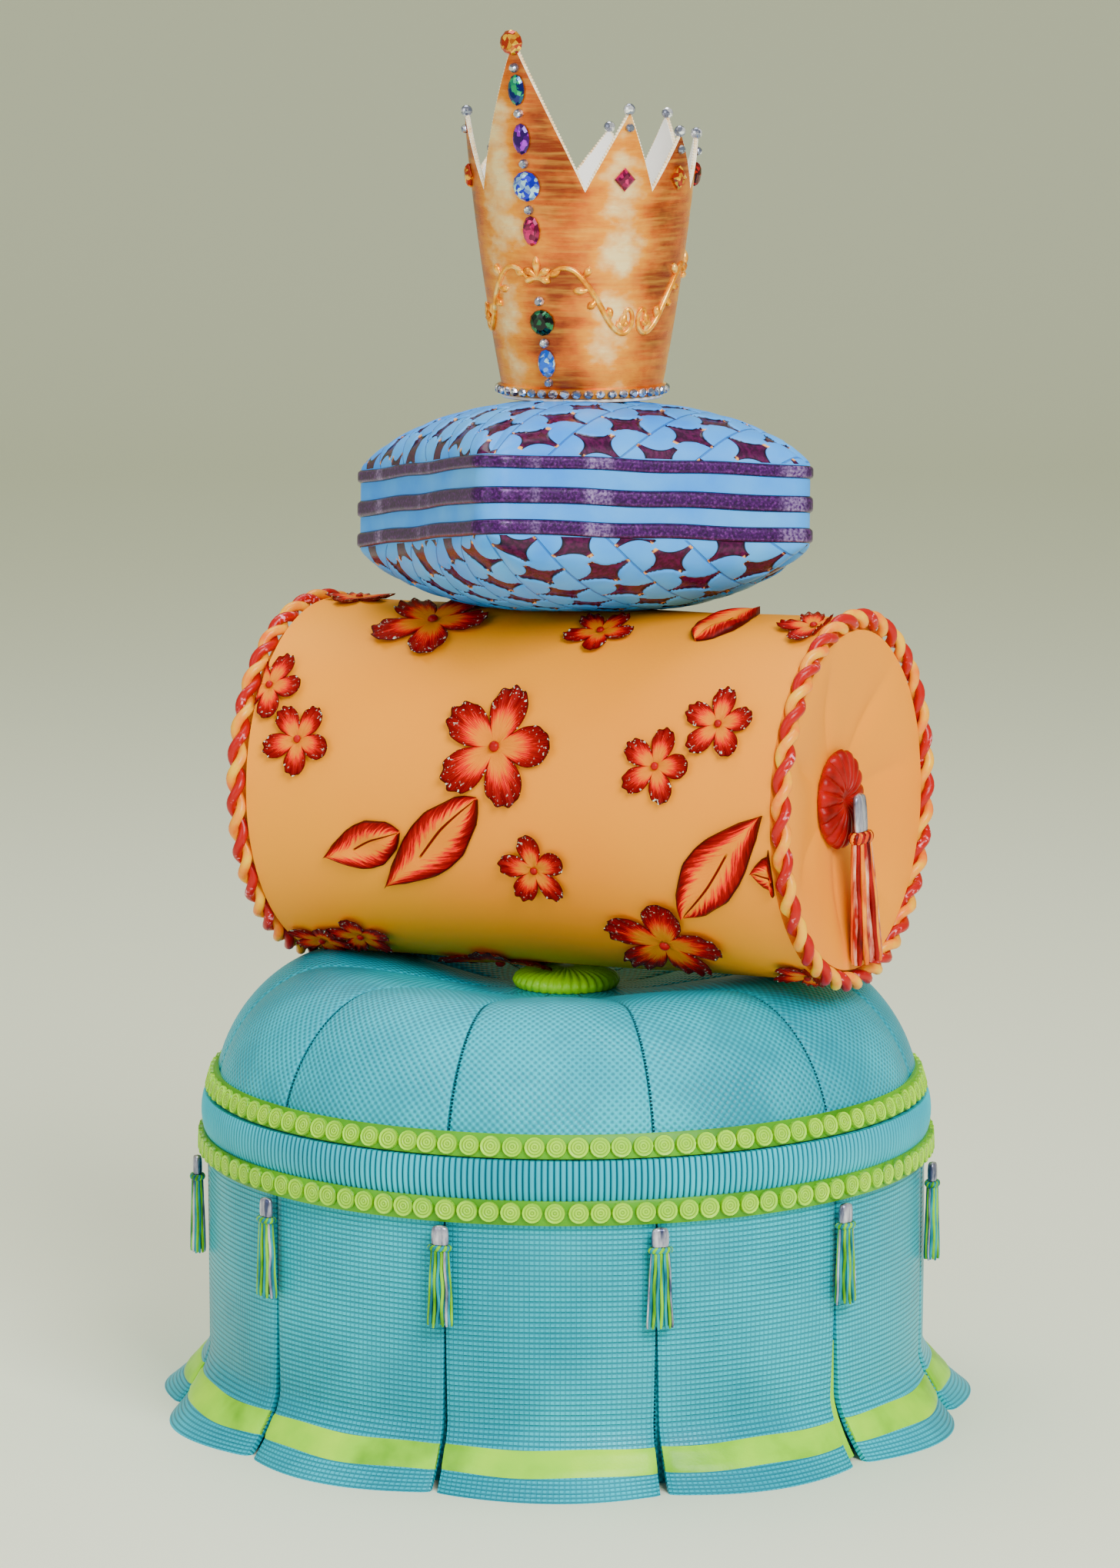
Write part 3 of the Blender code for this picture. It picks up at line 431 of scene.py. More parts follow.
def ringed():
    """Lime paste with rings round each disc's middle; painted shade darkens the grooves and the disc's
    edge.
    """
    look = Look("lime_paste_ringed", roughness=0.3, Specular_IOR_Level=0.4)
    place = look.place("plan")
    away = look.node("VectorMath", {0: place}, operation="LENGTH").outputs["Value"]
    wave = look.math("COSINE", look.times(away, tau / RING))
    ridge = look.math("MULTIPLY_ADD", wave, 0.5, 0.5)
    cloud = look.noise(look.place(), 60.0)
    body = look.ramp(cloud, ((0.3, (166, 222, 14)), (0.7, (186, 236, 36))))
    # painted shade in the ring grooves and round the disc's edge
    groove_shade = look.math("MAXIMUM", look.grade(ridge, 0.0, 0.24, 0.75, 0.0), look.grade(away, 0.0052, 0.0055))
    look.colour(look.mix(groove_shade, body, LIME_DEEP))
    look.bump(ridge, 0.0006)
    return look.material


LIME_RINGED = ringed()
print("lime looks:", LIME_SMOOTH.name, LIME_RINGED.name)

# %% [markdown]
# ## The pouf's puffed top
# A round cake is covered by eleven gores of woven paste that meet in stitched seams. The outline
# from the button's seat over the crest and down the side is a quarter of a superellipse; each
# gore swells a little between its seams. The bolster presses a trough into it: points inside the
# bolster's round side are pushed straight out to it, as paste would be.

# %% Where the tiers stand
PANELS, SEAM_TURN = 11, radians(-108.9)
PANEL_ANGLE = tau / PANELS
TOWER_X = 0.0083  # the upper tiers stand a little to the right
BOLSTER_R, BOLSTER_HALF = 0.0940, 0.1565
BOLSTER_MIDDLE = np.array([TOWER_X, 0.0, 0.3291])
BOLSTER_TURN = np.array(Matrix.Rotation(radians(-26.0), 3, "Z") @ Matrix.Rotation(radians(-1.1), 3, "Y"))
ROPE_RING_R, ROPE_AT, ROPE_REACH = 0.0937, 0.1560, 0.0052


def about(points, angle):
    """Points turned about Z by an angle, or by one angle for each."""
    c, s = np.cos(angle), np.sin(angle)
    x, y, z = points[..., 0], points[..., 1], points[..., 2]
    return joined(c * x - s * y, s * x + c * y, z)


def turned(radius, height, angle):
    """Points at a radius and a height round the Z axis."""
    return joined(radius * np.cos(angle), radius * np.sin(angle), height)


def pressed(points, radius, half, at=0.0, gap=0.0006):
    """Points inside a round bar along the bolster's axis go straight out to its side."""
    axis = BOLSTER_TURN[:, 0]
    offset = points - BOLSTER_MIDDLE
    along = offset @ axis
    away = offset - along[..., None] * axis
    reach = np.linalg.norm(away, axis=-1)
    inside = (reach < radius + gap) & (np.abs(along - at) < half)
    out = BOLSTER_MIDDLE + along[..., None] * axis + unit(away) * (radius + gap)
    return np.where(inside[..., None], out, points)


# %% Pouf top
CORE_R, CORE_MIDDLE = 0.1849, 0.08  # the upright side under the puffed top
DOME_R, DOME_FOOT = 0.1852, 0.1645
CREST_R, CREST_Z = 0.126, 0.2348
DOME_POWER = 1.82
SEAT_R, SEAT_Z = 0.031, 0.2222
PUFF = 0.0022
SEAM_GROOVE, SEAM_WIDTH = 0.0010, 0.0013


def dome_outline():
    """Radius and height from the middle of the seat out to the foot, then under the cake."""
    s = np.linspace(0, 1, 34)
    seat = joined(np.linspace(0.0, SEAT_R, 6), SEAT_Z)
    rise = joined(mixed(SEAT_R, CREST_R, s), mixed(SEAT_Z, CREST_Z, smooth(s)))
    a = pi / 2 * (1 - np.linspace(0, 1, 66))
    side_r = CREST_R + (DOME_R - CREST_R) * np.cos(a) ** (2 / DOME_POWER)
    side_z = DOME_FOOT + (CREST_Z - DOME_FOOT) * np.sin(a) ** (2 / DOME_POWER)
    core = joined([CORE_R, CORE_R, CORE_R, 0.0], [DOME_FOOT - 0.004, CORE_MIDDLE, 0.0, 0.0])
    return stacked(seat[:-1], rise[:-1], joined(side_r, side_z), core)

# %% [markdown]
# The stitched seams are narrow, so the columns of the grid crowd together there. The swelling
# and the seams move points along the normal of the turned outline.

# %% Gores and seams
def gore_columns():
    """Angles round the pouf, with more columns close to every seam."""
    share = np.linspace(-1, 1, 37)[:-1]
    bent = np.sign(share) * (1 - (1 - np.abs(share)) ** 1.35)
    angle = (np.arange(PANELS)[:, None] + 0.5 + bent / 2).ravel() * PANEL_ANGLE
    return stacked(angle, angle[:1] + tau)


def pouf_top():
    """Turned outline, swollen between the seams and grooved along them."""
    outline = dome_outline()
    r, z = outline[:, :1], outline[:, 1:]
    angle = gore_columns()[None, :]
    local = (angle / PANEL_ANGLE) % 1.0 - 0.5
    grid = turned(r, z, angle)
    from_seam = r * PANEL_ANGLE * (0.5 - np.abs(local))
    on_dome = smooth((r - SEAT_R) / 0.04) * smooth((z - DOME_FOOT + 0.002) / 0.02)
    swell = PUFF * (1 - np.abs(2 * local) ** 2.4) - SEAM_GROOVE * np.exp(-((from_seam / SEAM_WIDTH) ** 2))
    face = normals(grid)
    face[:, 0] = face[:, -1] = unit(face[:, 0] + face[:, -1])
    grid = grid - face * (swell * on_dome)[..., None]  # these normals look inwards
    grid = pressed(grid, BOLSTER_R, BOLSTER_HALF)
    for side in (-1, 1):
        grid = pressed(grid, ROPE_RING_R + ROPE_REACH, ROPE_REACH + 0.001, side * ROPE_AT)
    run = travelled(outline)[:, None]
    plan = joined(r * PANEL_ANGLE * local, run, from_seam, run)
    return about(grid, SEAM_TURN), plan


build("pouf_top_paste", [pouf_top()], [DOME_WEAVE], "teal_paste", ["pouf_cake"])

# %% [markdown]
# ## Skirt panels
# Eleven sheets of square weave hang round the cake and flare where they meet the table. A panel
# is a function of u, from one pleat to the next, and of its height. The hem's flare is a power
# of the height, strongest in the middle of the panel, and the gap at the pleats opens downwards.
# One sheet with a real thickness is made by a front grid and a back grid joined round the edge.

# %% Skirt
SKIRT_R, SKIRT_TOP, HEM_R = 0.1900, 0.1360, 0.2180
FLARE_FROM, FLARE_POWER, HEM_AT_PLEAT = 0.0340, 1.6, 0.64
PLEAT_TOP, PLEAT_OPENS = 0.0006, 0.087
# half the gap at the hem, for each seam in turn: some pleats hang open and some nearly shut
PLEAT_HEM = (0.0014, 0.0018, 0.0050, 0.0046, 0.0040, 0.0022, 0.0050, 0.0016, 0.0044, 0.0030, 0.0024)
SHEET = 0.0032
RIBBON_LOW, RIBBON_HIGH, RIBBON_LIFT = 0.0098, 0.0215, 0.0009


def on_skirt(number, u, z, lift=0.0):
    """A place on a panel: u from -1 to 1 between its pleats, z its height, lift off its face."""
    left, right = PLEAT_HEM[number], PLEAT_HEM[(number + 1) % PANELS]
    flare = np.maximum(1 - z / FLARE_FROM, 0) ** FLARE_POWER * (HEM_R - SKIRT_R)
    r = SKIRT_R + flare * mixed(HEM_AT_PLEAT, 1.0, np.cos(pi / 2 * u))
    opens = np.clip(1 - z / PLEAT_OPENS, 0, 1) ** 1.3
    angle = u * (PANEL_ANGLE / 2 - PLEAT_TOP / r) + opens * (left * (1 - u) - right * (1 + u)) / 2 / r
    lean = np.clip(1 - z / FLARE_FROM, 0, 1)
    edge = 0.0010 * smooth((np.abs(u) - 0.94) / 0.06)
    hang = 0.0005 * cos(2.4 * number) * np.sin(3.1 * u + 40 * z) * (1 - u * u)
    r = r + lift * (1 - 0.35 * lean) - edge + hang
    return about(turned(r, z + lift * 0.75 * lean, angle), SEAM_TURN + (number + 0.5) * PANEL_ANGLE)


def panel_sheet(number):
    """Front face, and a back face one thickness in, kept off the floor."""
    u = row(-1, 1, 45)
    z = stacked(np.linspace(SKIRT_TOP, 0.05, 12), np.linspace(0.046, 0.0, 26))[:, None]
    back = on_skirt(number, u, z, -SHEET)
    back[..., 2] = np.maximum(back[..., 2], 0.0)
    front = on_skirt(number, u, z)
    run = travelled(front[:, 22])[:, None]
    plan = joined(u * SKIRT_R * PANEL_ANGLE / 2, run)
    return slab(front, back, plan)


for number in range(PANELS):
    node = f"skirt_panel_{number + 1:02d}"
    dress(node, [panel_sheet(number)], [SKIRT_WEAVE], "teal_paste")

# %% [markdown]
# A ribbon of lime paste runs along each hem, and a lime insert shows inside the pleats that hang
# open. Both ride on the panel's own function, one lifted off its face and one set behind it.

# %% Hem ribbons and pleat inserts
def hem_ribbon(number):
    """A strip of the panel's own surface, lifted by its thickness."""
    u = row(-1, 1, 45)
    z = mixed(RIBBON_HIGH, RIBBON_LOW, column(0, 1, 8)) + 0.0004 * np.sin(5 * u + 1.7 * number)
    across = column(-1, 1, 8)
    lift = RIBBON_LIFT * (1 - across**6) + 0.0001
    plan = joined(u * SKIRT_R * PANEL_ANGLE / 2, z)
    return slab(on_skirt(number, u, z, lift), on_skirt(number, u, z, -0.0012), plan)


INSERT_TOP, INSERT_SHARE, INSERT_BACK = 0.062, 0.84, 0.0008
OPEN = 0.0025  # a pleat whose half gap is wider than this shows its insert


def pleat_insert(number):
    """A strip from under the panel's right edge over a share of the gap beside it."""
    z = column(INSERT_TOP, 0.004, 20)
    gap = 2 * PLEAT_HEM[(number + 1) % PANELS] * (1 - z / PLEAT_OPENS) ** 1.3
    far = 1.0 + INSERT_SHARE * gap / (SKIRT_R * PANEL_ANGLE / 2)
    u = mixed(0.95, far, row(0, 1, 6))
    back = INSERT_BACK + 0.0012 * (INSERT_TOP - z) / INSERT_TOP * (u > 1.0)
    plan = joined(u * 0.05, z)
    return slab(on_skirt(number, u, z, -back), on_skirt(number, u, z, -back - 0.0016), plan)


ribbons = [hem_ribbon(k) for k in range(PANELS)]
inserts = [pleat_insert(k) for k in range(PANELS) if PLEAT_HEM[(k + 1) % PANELS] > OPEN]
build("hem_ribbon", ribbons, [LIME_SMOOTH], "lime_paste")
build("pleat_inserts", inserts, [LIME_SMOOTH], "lime_paste")

# %% [markdown]
# ## Ribbed band
# Between the two trims a teal band is scored upright every three millimetres. Here the ribs are
# real: radius = bulge + height of |sin| of the angle, with eight columns to a rib. The grooves are
# painted a little darker, as painted shade, by the same |sin| read from the plan.

# %% Ribbed band
RIBS, RIB_H, RIB_COLUMNS = 384, 0.0014, 8
BAND_TOP, BAND_FOOT, BAND_R, BAND_BACK, BAND_BULGE = 0.1686, 0.1440, 0.1893, 0.1868, 0.0026


def ribbed_look():
    """Teal paste with painted shade deeper down in the grooves; the plan counts the ribs."""
    look = Look("teal_paste_ribbed", roughness=0.36, Specular_IOR_Level=0.3)
    ribs, _ = look.plan()
    crest = look.size(look.math("SINE", look.times(ribs, pi)))
    body = look.ramp(look.noise(look.place(), 14.0, 4.0), ((0.3, TEAL), (0.7, TEAL_LIGHT)))
    # painted shade: the grooves between the ribs are darkened towards deep teal
    look.colour(look.mix(look.grade(crest, 0.1, 0.8, 0.9, 0.0), body, TEAL_DEEP))
    return look.material


def ribbed_band():
    """Outer face with ribs, inner face plain, joined round the top and foot."""
    angle = row(0, tau, RIB_COLUMNS * RIBS + 1)
    z, s = column(BAND_TOP, BAND_FOOT, 9), column(0, 1, 9)
    r = BAND_R + BAND_BULGE * np.sin(pi * np.clip(s * 1.1 + 0.05, 0, 1)) ** 0.6
    r = r + RIB_H * np.abs(np.sin(RIBS / 2 * angle)) ** 0.7
    plan = joined(angle / tau * RIBS, z)
    outer = turned(r, z, angle)
    inner = turned(BAND_BACK, z[[-1, 0]], angle)
    return stacked(outer, inner, outer[:1]), stacked(plan, plan[[-1, 0]], plan[:1])


dress("ribbed_band", [ribbed_band()], [ribbed_look()], "teal_paste")

# %% [markdown]
# ## Trims of pressed discs
# Two strips of lime paste carry 108 discs each, pressed on edge to edge. One small disc is worked
# out once as radius, angle and lift, and an array of placements makes all of them at a time. The
# discs are as uneven as hand work, by a seeded draw.

# %% Disc trims
DISCS = 108
STRIP = 0.0026
STRIP_ACROSS = np.array([0.0, 0.0, 0.12, 0.88, 1.0, 1.0, 0.0])
STRIP_RISE = np.array([0.0, 0.8, 1.0, 1.0, 0.8, 0.0, 0.0])
DISC_SIDES, DISC_UNEVEN = 14, 0.04
DISC_RISE = np.array([0.0, 0.0, 0.72, 1.0, 0.74, 0.90, 0.84, 0.94]) * 0.0026
DISC_REACH = np.array([0.0, 1.0, 1.0, 0.93, 0.80, 0.66, 0.30, 0.0])
rng = np.random.default_rng(7)


def disc_trim(low, high, disc_at, disc_r):
    """A strip between two (radius, height) edges, and discs whose middles lie along it."""
    low, high = np.array(low), np.array(high)
    up = (high - low) / np.linalg.norm(high - low)
    out = np.array([up[1], -up[0]])
    angle = row(0, tau, 4 * DISCS + 1)
    section = mixed(low, high, STRIP_ACROSS[:, None]) + out * STRIP * STRIP_RISE[:, None]
    strip = turned(section[:, :1], section[:, 1:], angle)
    strip_plan = joined(angle + 1.0, section[:, 1:])
    turn = (np.arange(DISCS) + 0.5 + rng.uniform(-DISC_UNEVEN, DISC_UNEVEN, DISCS)) * tau / DISCS
    size = disc_r * rng.uniform(0.95, 1.02, DISCS)
    around = row(0, tau, DISC_SIDES + 1)
    reach = size[:, None, None] * DISC_REACH[:, None]
    side, rise = reach * np.cos(around), reach * np.sin(around)
    lift = DISC_RISE[:, None] + STRIP * 0.75
    middle = mixed(low, high, disc_at)
    r = middle[0] + up[0] * rise + out[0] * lift
    z = middle[1] + up[1] * rise + out[1] * lift
    discs = about(joined(r, side, z), turn[:, None, None])
    return [(strip, strip_plan, 0), (discs, joined(side, rise), 1)]


# lower edge, upper edge, where the discs lie between them, and their radius
LOWER = ((0.1908, 0.1360), (0.1904, 0.1484), 0.54, 0.00555)
UPPER = ((0.1872, 0.1688), (0.1838, 0.1806), 0.46, 0.00545)
for name, edges in (("lower_trim", LOWER), ("upper_trim", UPPER)):
    # the strip's look is painted deeper than the discs, as shade between them
    dress(name, disc_trim(*edges), [LIME_STRIP_SHADED, LIME_RINGED], "lime_paste")

# %% [markdown]
# ## Top button
# A fat lime button sits in the middle of the pouf, its face scored with slanting ridges, as if
# its covering were gathered. Height = a flattened dome + a wave that turns as it goes outwards.

# %% Top button
BUTTON_R, BUTTON_H, BUTTON_RIDGES = 0.0285, 0.0105, 36
BUTTON_FACE, BUTTON_SIDE = 0.8, 0.35  # the face's share of the outline, and the side's of the height


def gathered_button(radius, height, ridges, slant, depth, dimple=0.0, columns=None):
    """A low dome, radius by height, with ridges that run from the rim to its middle."""
    a = row(0, tau, (columns or 6 * ridges) + 1)
    t = column(0, 1, 26)
    down = (t - BUTTON_FACE) / (1 - BUTTON_FACE)
    out = np.where(t < BUTTON_FACE, t / BUTTON_FACE, 1 - 0.06 * down**2)
    dome = np.sqrt(np.maximum(1 - (t / BUTTON_FACE) ** 3, 0))
    z = np.where(t < BUTTON_FACE, mixed(BUTTON_SIDE, 1, dome), BUTTON_SIDE * (1 - down))
    z = z - dimple * np.exp(-((out / 0.22) ** 2)) * (t < BUTTON_FACE)
    wave = np.abs(np.sin(ridges / 2 * a + slant * out))
    rim = smooth((out - 0.12) / 0.25)
    r = out * radius * (1 - 0.04 * (1 - wave) * rim)
    z = z * height - depth * (1 - wave) ** 1.5 * rim * smooth(z / 0.3)
    grid = stacked(turned(r, z, a), turned(np.zeros((1, 1)), 0.0, a))
    return grid, joined(a / tau, stacked(t, [[1.2]]))


grid, plan = gathered_button(BUTTON_R, BUTTON_H, BUTTON_RIDGES, 0.9, 0.0012)
grid = grid + [0, 0, SEAT_Z + 0.0003]
dress("top_button", [(grid, plan)], [LIME_SMOOTH], "lime_paste")

# %% [markdown]
# ## Tassels
# At every pleat hangs a small tassel: a silver cap, a two coloured cord bound round its foot and
# a skirt of rolled strands. Each strand is a bar carried along a path that leaves the cap, fans
# out and waves a little. The waves are drawn from one seeded set of numbers, so every tassel is
# different and the file always gives the same ones.

# %% Tassel looks
def rolled(name, light, dark, roughness=0.4, **uniform):
    """Rolled paste whose colour streaks along the strand."""
    look = Look(name, roughness=roughness, **{"Specular_IOR_Level": 0.2, **uniform})
    streak = look.noise(look.place(scale=(260, 260, 60)), 1.0, 4.0)
    look.colour(look.ramp(streak, ((0.36, dark), (0.62, light))))
    look.bump(streak, 0.0002)
    return look.material


SILVER = rolled("lilac_silver_paste", (214, 212, 226), (78, 82, 104), 0.26, Metallic=0.7)
TEAL_STRAND = rolled("teal_strand", (0, 148, 160), (0, 84, 98))
LIME_STRAND = rolled("lime_strand", (140, 196, 0), (70, 122, 0))
RED_STRAND = rolled("red_strand", (146, 6, 8), (76, 0, 6))
ORANGE_STRAND = rolled("orange_strand", (248, 160, 30), (190, 84, 8))
WHITE_STRAND = rolled("white_red_strand", (240, 200, 180), (146, 6, 8))

# %% Tassel helpers
CAP_SHOULDER, CREASE_DEEP, CREASE_WIDE = 0.86, 0.16, 0.24
CORD_TWISTS, CORD_SHARE = 9, 0.32  # the cord's height is a share of the cap's


def spun(radius, height, angle, flat):
    """A turned shape squeezed from front to back."""
    return turned(radius, height, angle) * [flat, 1.0, 1.0]


def closed_tube(path, radius, sides=8):
    """A bar along a path whose last point is its first."""
    body = path[:-1]
    along = unit(np.roll(body, -1, 0) - np.roll(body, 1, 0))
    across = unit(np.cross(along, unit(body - body.mean(0))))
    upright = np.cross(across, along)
    angle = row(0, tau, sides + 1)[..., None]
    radius = np.broadcast_to(radius, len(body))[:, None, None]
    grid = body[:, None] + radius * (np.cos(angle) * across[:, None] + np.sin(angle) * upright[:, None])
    return stacked(grid, grid[:1]), joined(angle[..., 0] / tau, travelled(path)[:, None])

# %% [markdown]
# The cord is two strands that wind round one ring. The cap is a turned thimble with one crease.

# %% Cord and cap
def corded(radius, height, flat, thick, phase):
    """One of two strands that wind round a ring, closed on itself."""
    a = np.linspace(0, tau, 10 * CORD_TWISTS + 1)
    wind = CORD_TWISTS * a + phase
    offset = 0.55 * thick
    path = spun(radius + offset * np.cos(wind), height + offset * np.sin(wind), a, flat)
    return closed_tube(path, thick * 0.62)


def tassel_cap(cap_r, cap_h, angle, flat):
    """A thimble with a round top and a crease down its outer side."""
    t = column(0, 1, 14)
    fuller = mixed(CAP_SHOULDER, 1, np.sin(pi / 2 * np.clip((t - 0.1) / 0.4, 0, 1)))
    swell = np.where(t < 0.1, CAP_SHOULDER * np.sqrt(t / 0.1), fuller)
    radius = stacked(cap_r * swell * (1 - 0.06 * smooth((t - 0.8) / 0.2)), [[0.0]])
    height = stacked(-cap_h * t, [[-cap_h * 1.02]])
    grid = spun(radius, height, angle, flat)
    from_crease = np.abs((angle + pi) % tau - pi)
    grid[..., 0] *= 1 - CREASE_DEEP * np.exp(-((from_crease / CREASE_WIDE) ** 2))
    return grid, joined(angle, height), 0

# %% [markdown]
# All the strands of a tassel are one array of paths. Its rows are the strands, its columns the
# steps from the cap down to the hem.

# %% Strands
def tassel_strands(length, cap_r, start, hem_r, flat, strand_r, count, looks):
    """Bars that leave the cap, fan out and wave, every one with its own look and wave."""
    down = row(0, 1, 22)
    around = (np.arange(count) + rng.uniform(-0.18, 0.18, count))[:, None] * tau / count
    size, pace, phase = (rng.uniform(*span, (count, 1)) for span in ((0.25, 0.5), (7, 12), (0, tau)))
    wave = size * np.sin(down * pace + phase)
    turn = around + wave * strand_r * 1.6 / hem_r * smooth(down * 3)
    r = mixed(CAP_SHOULDER * cap_r, hem_r - strand_r, down**0.8) + 0.25 * strand_r * wave
    low = -length + rng.uniform(-0.0004, 0.0008, (count, 1))
    path = spun(r, mixed(start, low, down), turn, flat)
    girth = strand_r * np.broadcast_to(1 - 0.35 * smooth((down - 0.94) / 0.06), r.shape)
    bars, plan = tube(path, girth, (1.0, 0.3, 0.0))
    kinds = (np.arange(count) + rng.integers(count)) % len(looks)
    return [(bars[kinds == k], plan, look) for k, look in enumerate(looks)]


def tassel(length, cap, hem_r, flat, strand_r, count, cord_looks, strand_looks):
    """Cap, cord, core and strands, hanging from the origin, x outwards."""
    cap_r, cap_h = cap
    angle = row(0, tau, 33)
    cord_h = CORD_SHARE * cap_h
    middle = -cap_h - cord_h * 0.5
    cords = [
        (*corded(cap_r * 0.98 + 0.0004, middle, flat * 1.05, cord_h * 0.45, phase), look)
        for phase, look in zip((0.0, pi), cord_looks)
    ]
    core_r = np.array([0.0, 0.8 * cap_r, hem_r * 0.72, 0.0])[:, None]
    core_z = np.array([-cap_h, -cap_h - 0.4 * cord_h, -length + 0.002, -length + 0.002])[:, None]
    core = (spun(core_r, core_z, angle, flat), joined(angle, core_z), strand_looks[0])
    strands = tassel_strands(length, cap_r, middle, hem_r, flat, strand_r, count, strand_looks)
    return [tassel_cap(cap_r, cap_h, angle, flat), core, *cords, *strands]


def carried(sheets, turn, shift):
    """Sheets turned by a matrix and shifted."""
    return [(grid @ np.asarray(turn).T + shift, plan, look) for grid, plan, look in sheets]


# %% Skirt tassels
TASSEL_R, TASSEL_TOP, TASSEL_LENGTH, TASSEL_CAP = 0.1958, 0.1350, 0.0520, (0.0046, 0.0100)
TASSEL_HEM, TASSEL_FLAT, STRAND_SIZE, STRANDS = 0.0073, 0.55, 0.00082, 17
for number in range(PANELS):
    angle = SEAM_TURN + number * PANEL_ANGLE
    size = (TASSEL_LENGTH, TASSEL_CAP, TASSEL_HEM, TASSEL_FLAT, STRAND_SIZE, STRANDS)
    sheets = tassel(*size, cord_looks=(2, 1), strand_looks=(1, 2, 1, 2, 0))
    place = np.array([TASSEL_R * cos(angle), TASSEL_R * sin(angle), TASSEL_TOP])
    sheets = carried(sheets, Matrix.Rotation(angle, 3, "Z"), place)
    dress(f"skirt_tassel_{number + 1:02d}", sheets, [SILVER, TEAL_STRAND, LIME_STRAND], "tassel_paste")

# %% [markdown]
# ## The bolster
# A lying roll covered in orange paste. Its outline, half a dish, a groove for the rope and the
# long side, is turned about its own axis. The dished ends carry soft creases that run in to the
# button, a wave in the angle that fades at the middle and the rim.

# %% Orange and red looks
ORANGE = plain_paste(
    "orange_smooth", (243, 159, 16), (246, 165, 24), (239, 151, 10), 0.5, 5.0, Specular_IOR_Level=0.15
)
ORANGE_CORD = plain_paste("orange_cord", (248, 164, 40), (252, 196, 100), (226, 120, 20), 0.3, 90.0)
RED_PASTE = plain_paste(
    "red_smooth", (140, 4, 10), (164, 16, 16), (90, 0, 8), 0.34, 60.0, Specular_IOR_Level=0.2
)


def pearly(name, base, bright):
    """Red paste with silver flecks in scattered spots: silver dust, and painted highlights."""
    look = Look(name, roughness=0.28, Specular_IOR_Level=0.3)
    dust_and_sheen = look.noise(look.place(), 500.0, 5.0)
    streak = look.noise(look.place(), 90.0)
    # silver dust and painted highlights, in random spots
    share = look.times(look.grade(dust_and_sheen, 0.52, 0.66), look.grade(streak, 0.52, 0.64))
    look.colour(look.mix(share, base, bright))
    look.bump(dust_and_sheen, 0.00008)
    return look.material


RED_CORD = pearly("pearly_red_cord", (160, 8, 22), (236, 170, 180))


def in_bolster(points):
    """From the bolster's own frame into the cake's."""
    return points @ BOLSTER_TURN.T + BOLSTER_MIDDLE


def along_x(points):
    """A shape turned about Z is laid along X."""
    return points[..., ::-1] * [1, 1, -1]


# %% Bolster body
END_DISH, ROPE_GROOVE = 0.0112, 0.0060
CREASES, CREASE_AT, CREASE_SPAN, CREASE_SINK = 7, 0.055, 0.022, 0.0035
dish = np.linspace(0, 1, 16)
dish_z = BOLSTER_HALF - END_DISH * (1 - smooth((dish - 0.28) / 0.72) ** 0.8)
swing = np.radians(np.array([22.5, 45, 67.5]))
half = stacked(
    joined(mixed(0.0, ROPE_RING_R - ROPE_GROOVE, dish), dish_z),
    joined(ROPE_RING_R - ROPE_GROOVE * np.cos(swing), ROPE_AT - ROPE_GROOVE * np.sin(swing)),
    joined(BOLSTER_R, np.linspace(ROPE_AT - ROPE_GROOVE, 0, 24)),
)
outline = stacked(half, half[-2::-1] * [1, -1])
angle = row(0, tau, 193)
r, z = outline[:, :1], outline[:, 1:]
near = smooth(r / 0.03) * np.exp(-(((r - CREASE_AT) / CREASE_SPAN) ** 2)) * (np.abs(z) > 0.12)
crease = np.abs(np.sin(CREASES / 2 * angle + 0.6 * np.sign(z) + 0.25 * np.sin(3 * angle)))
z = z - np.sign(z) * CREASE_SINK * near * (1 - crease) ** 1.6
uneven = 0.0004 * np.sin(2 * angle + 30 * z) * np.sin(45 * z + 1.0) * (r > 0.0935)
body = in_bolster(along_x(turned(r + uneven, z, angle)))
dress("bolster", [(body, joined(angle * r, z))], [ORANGE], "orange_paste")

# %% [markdown]
# A rope of two strands, one orange and one red, runs round each edge. A strand winds about a
# ring: its path is the ring's radius plus an offset that turns twenty two times on the way.

# %% Ropes
TWISTS, STRAND_R, STRAND_OFFSET = 22, 0.0027, 0.0026


def rope_strand(side, phase):
    """Path of one strand, and the bar carried along it."""
    share = np.linspace(0, 1, TWISTS * 15 + 1)
    wind = TWISTS * tau * share + phase
    r = ROPE_RING_R + STRAND_OFFSET * np.cos(wind)
    x = side * ROPE_AT + STRAND_OFFSET * np.sin(wind)
    path = joined(x, -r * np.cos(tau * share), r * np.sin(tau * share))
    grid, plan = closed_tube(path, STRAND_R, sides=10)
    return in_bolster(grid), plan


for side, end in ((-1, "left"), (1, "right")):
    dress(f"rope_{end}_red", [rope_strand(side, 0.0)], [RED_CORD], "red_paste")
    dress(f"rope_{end}_orange", [rope_strand(side, pi)], [ORANGE_CORD], "orange_paste")

# %% [markdown]
# Each dished end has a gathered red button and a long tassel that hangs from it. Button and
# tassel come from the functions above with other numbers.

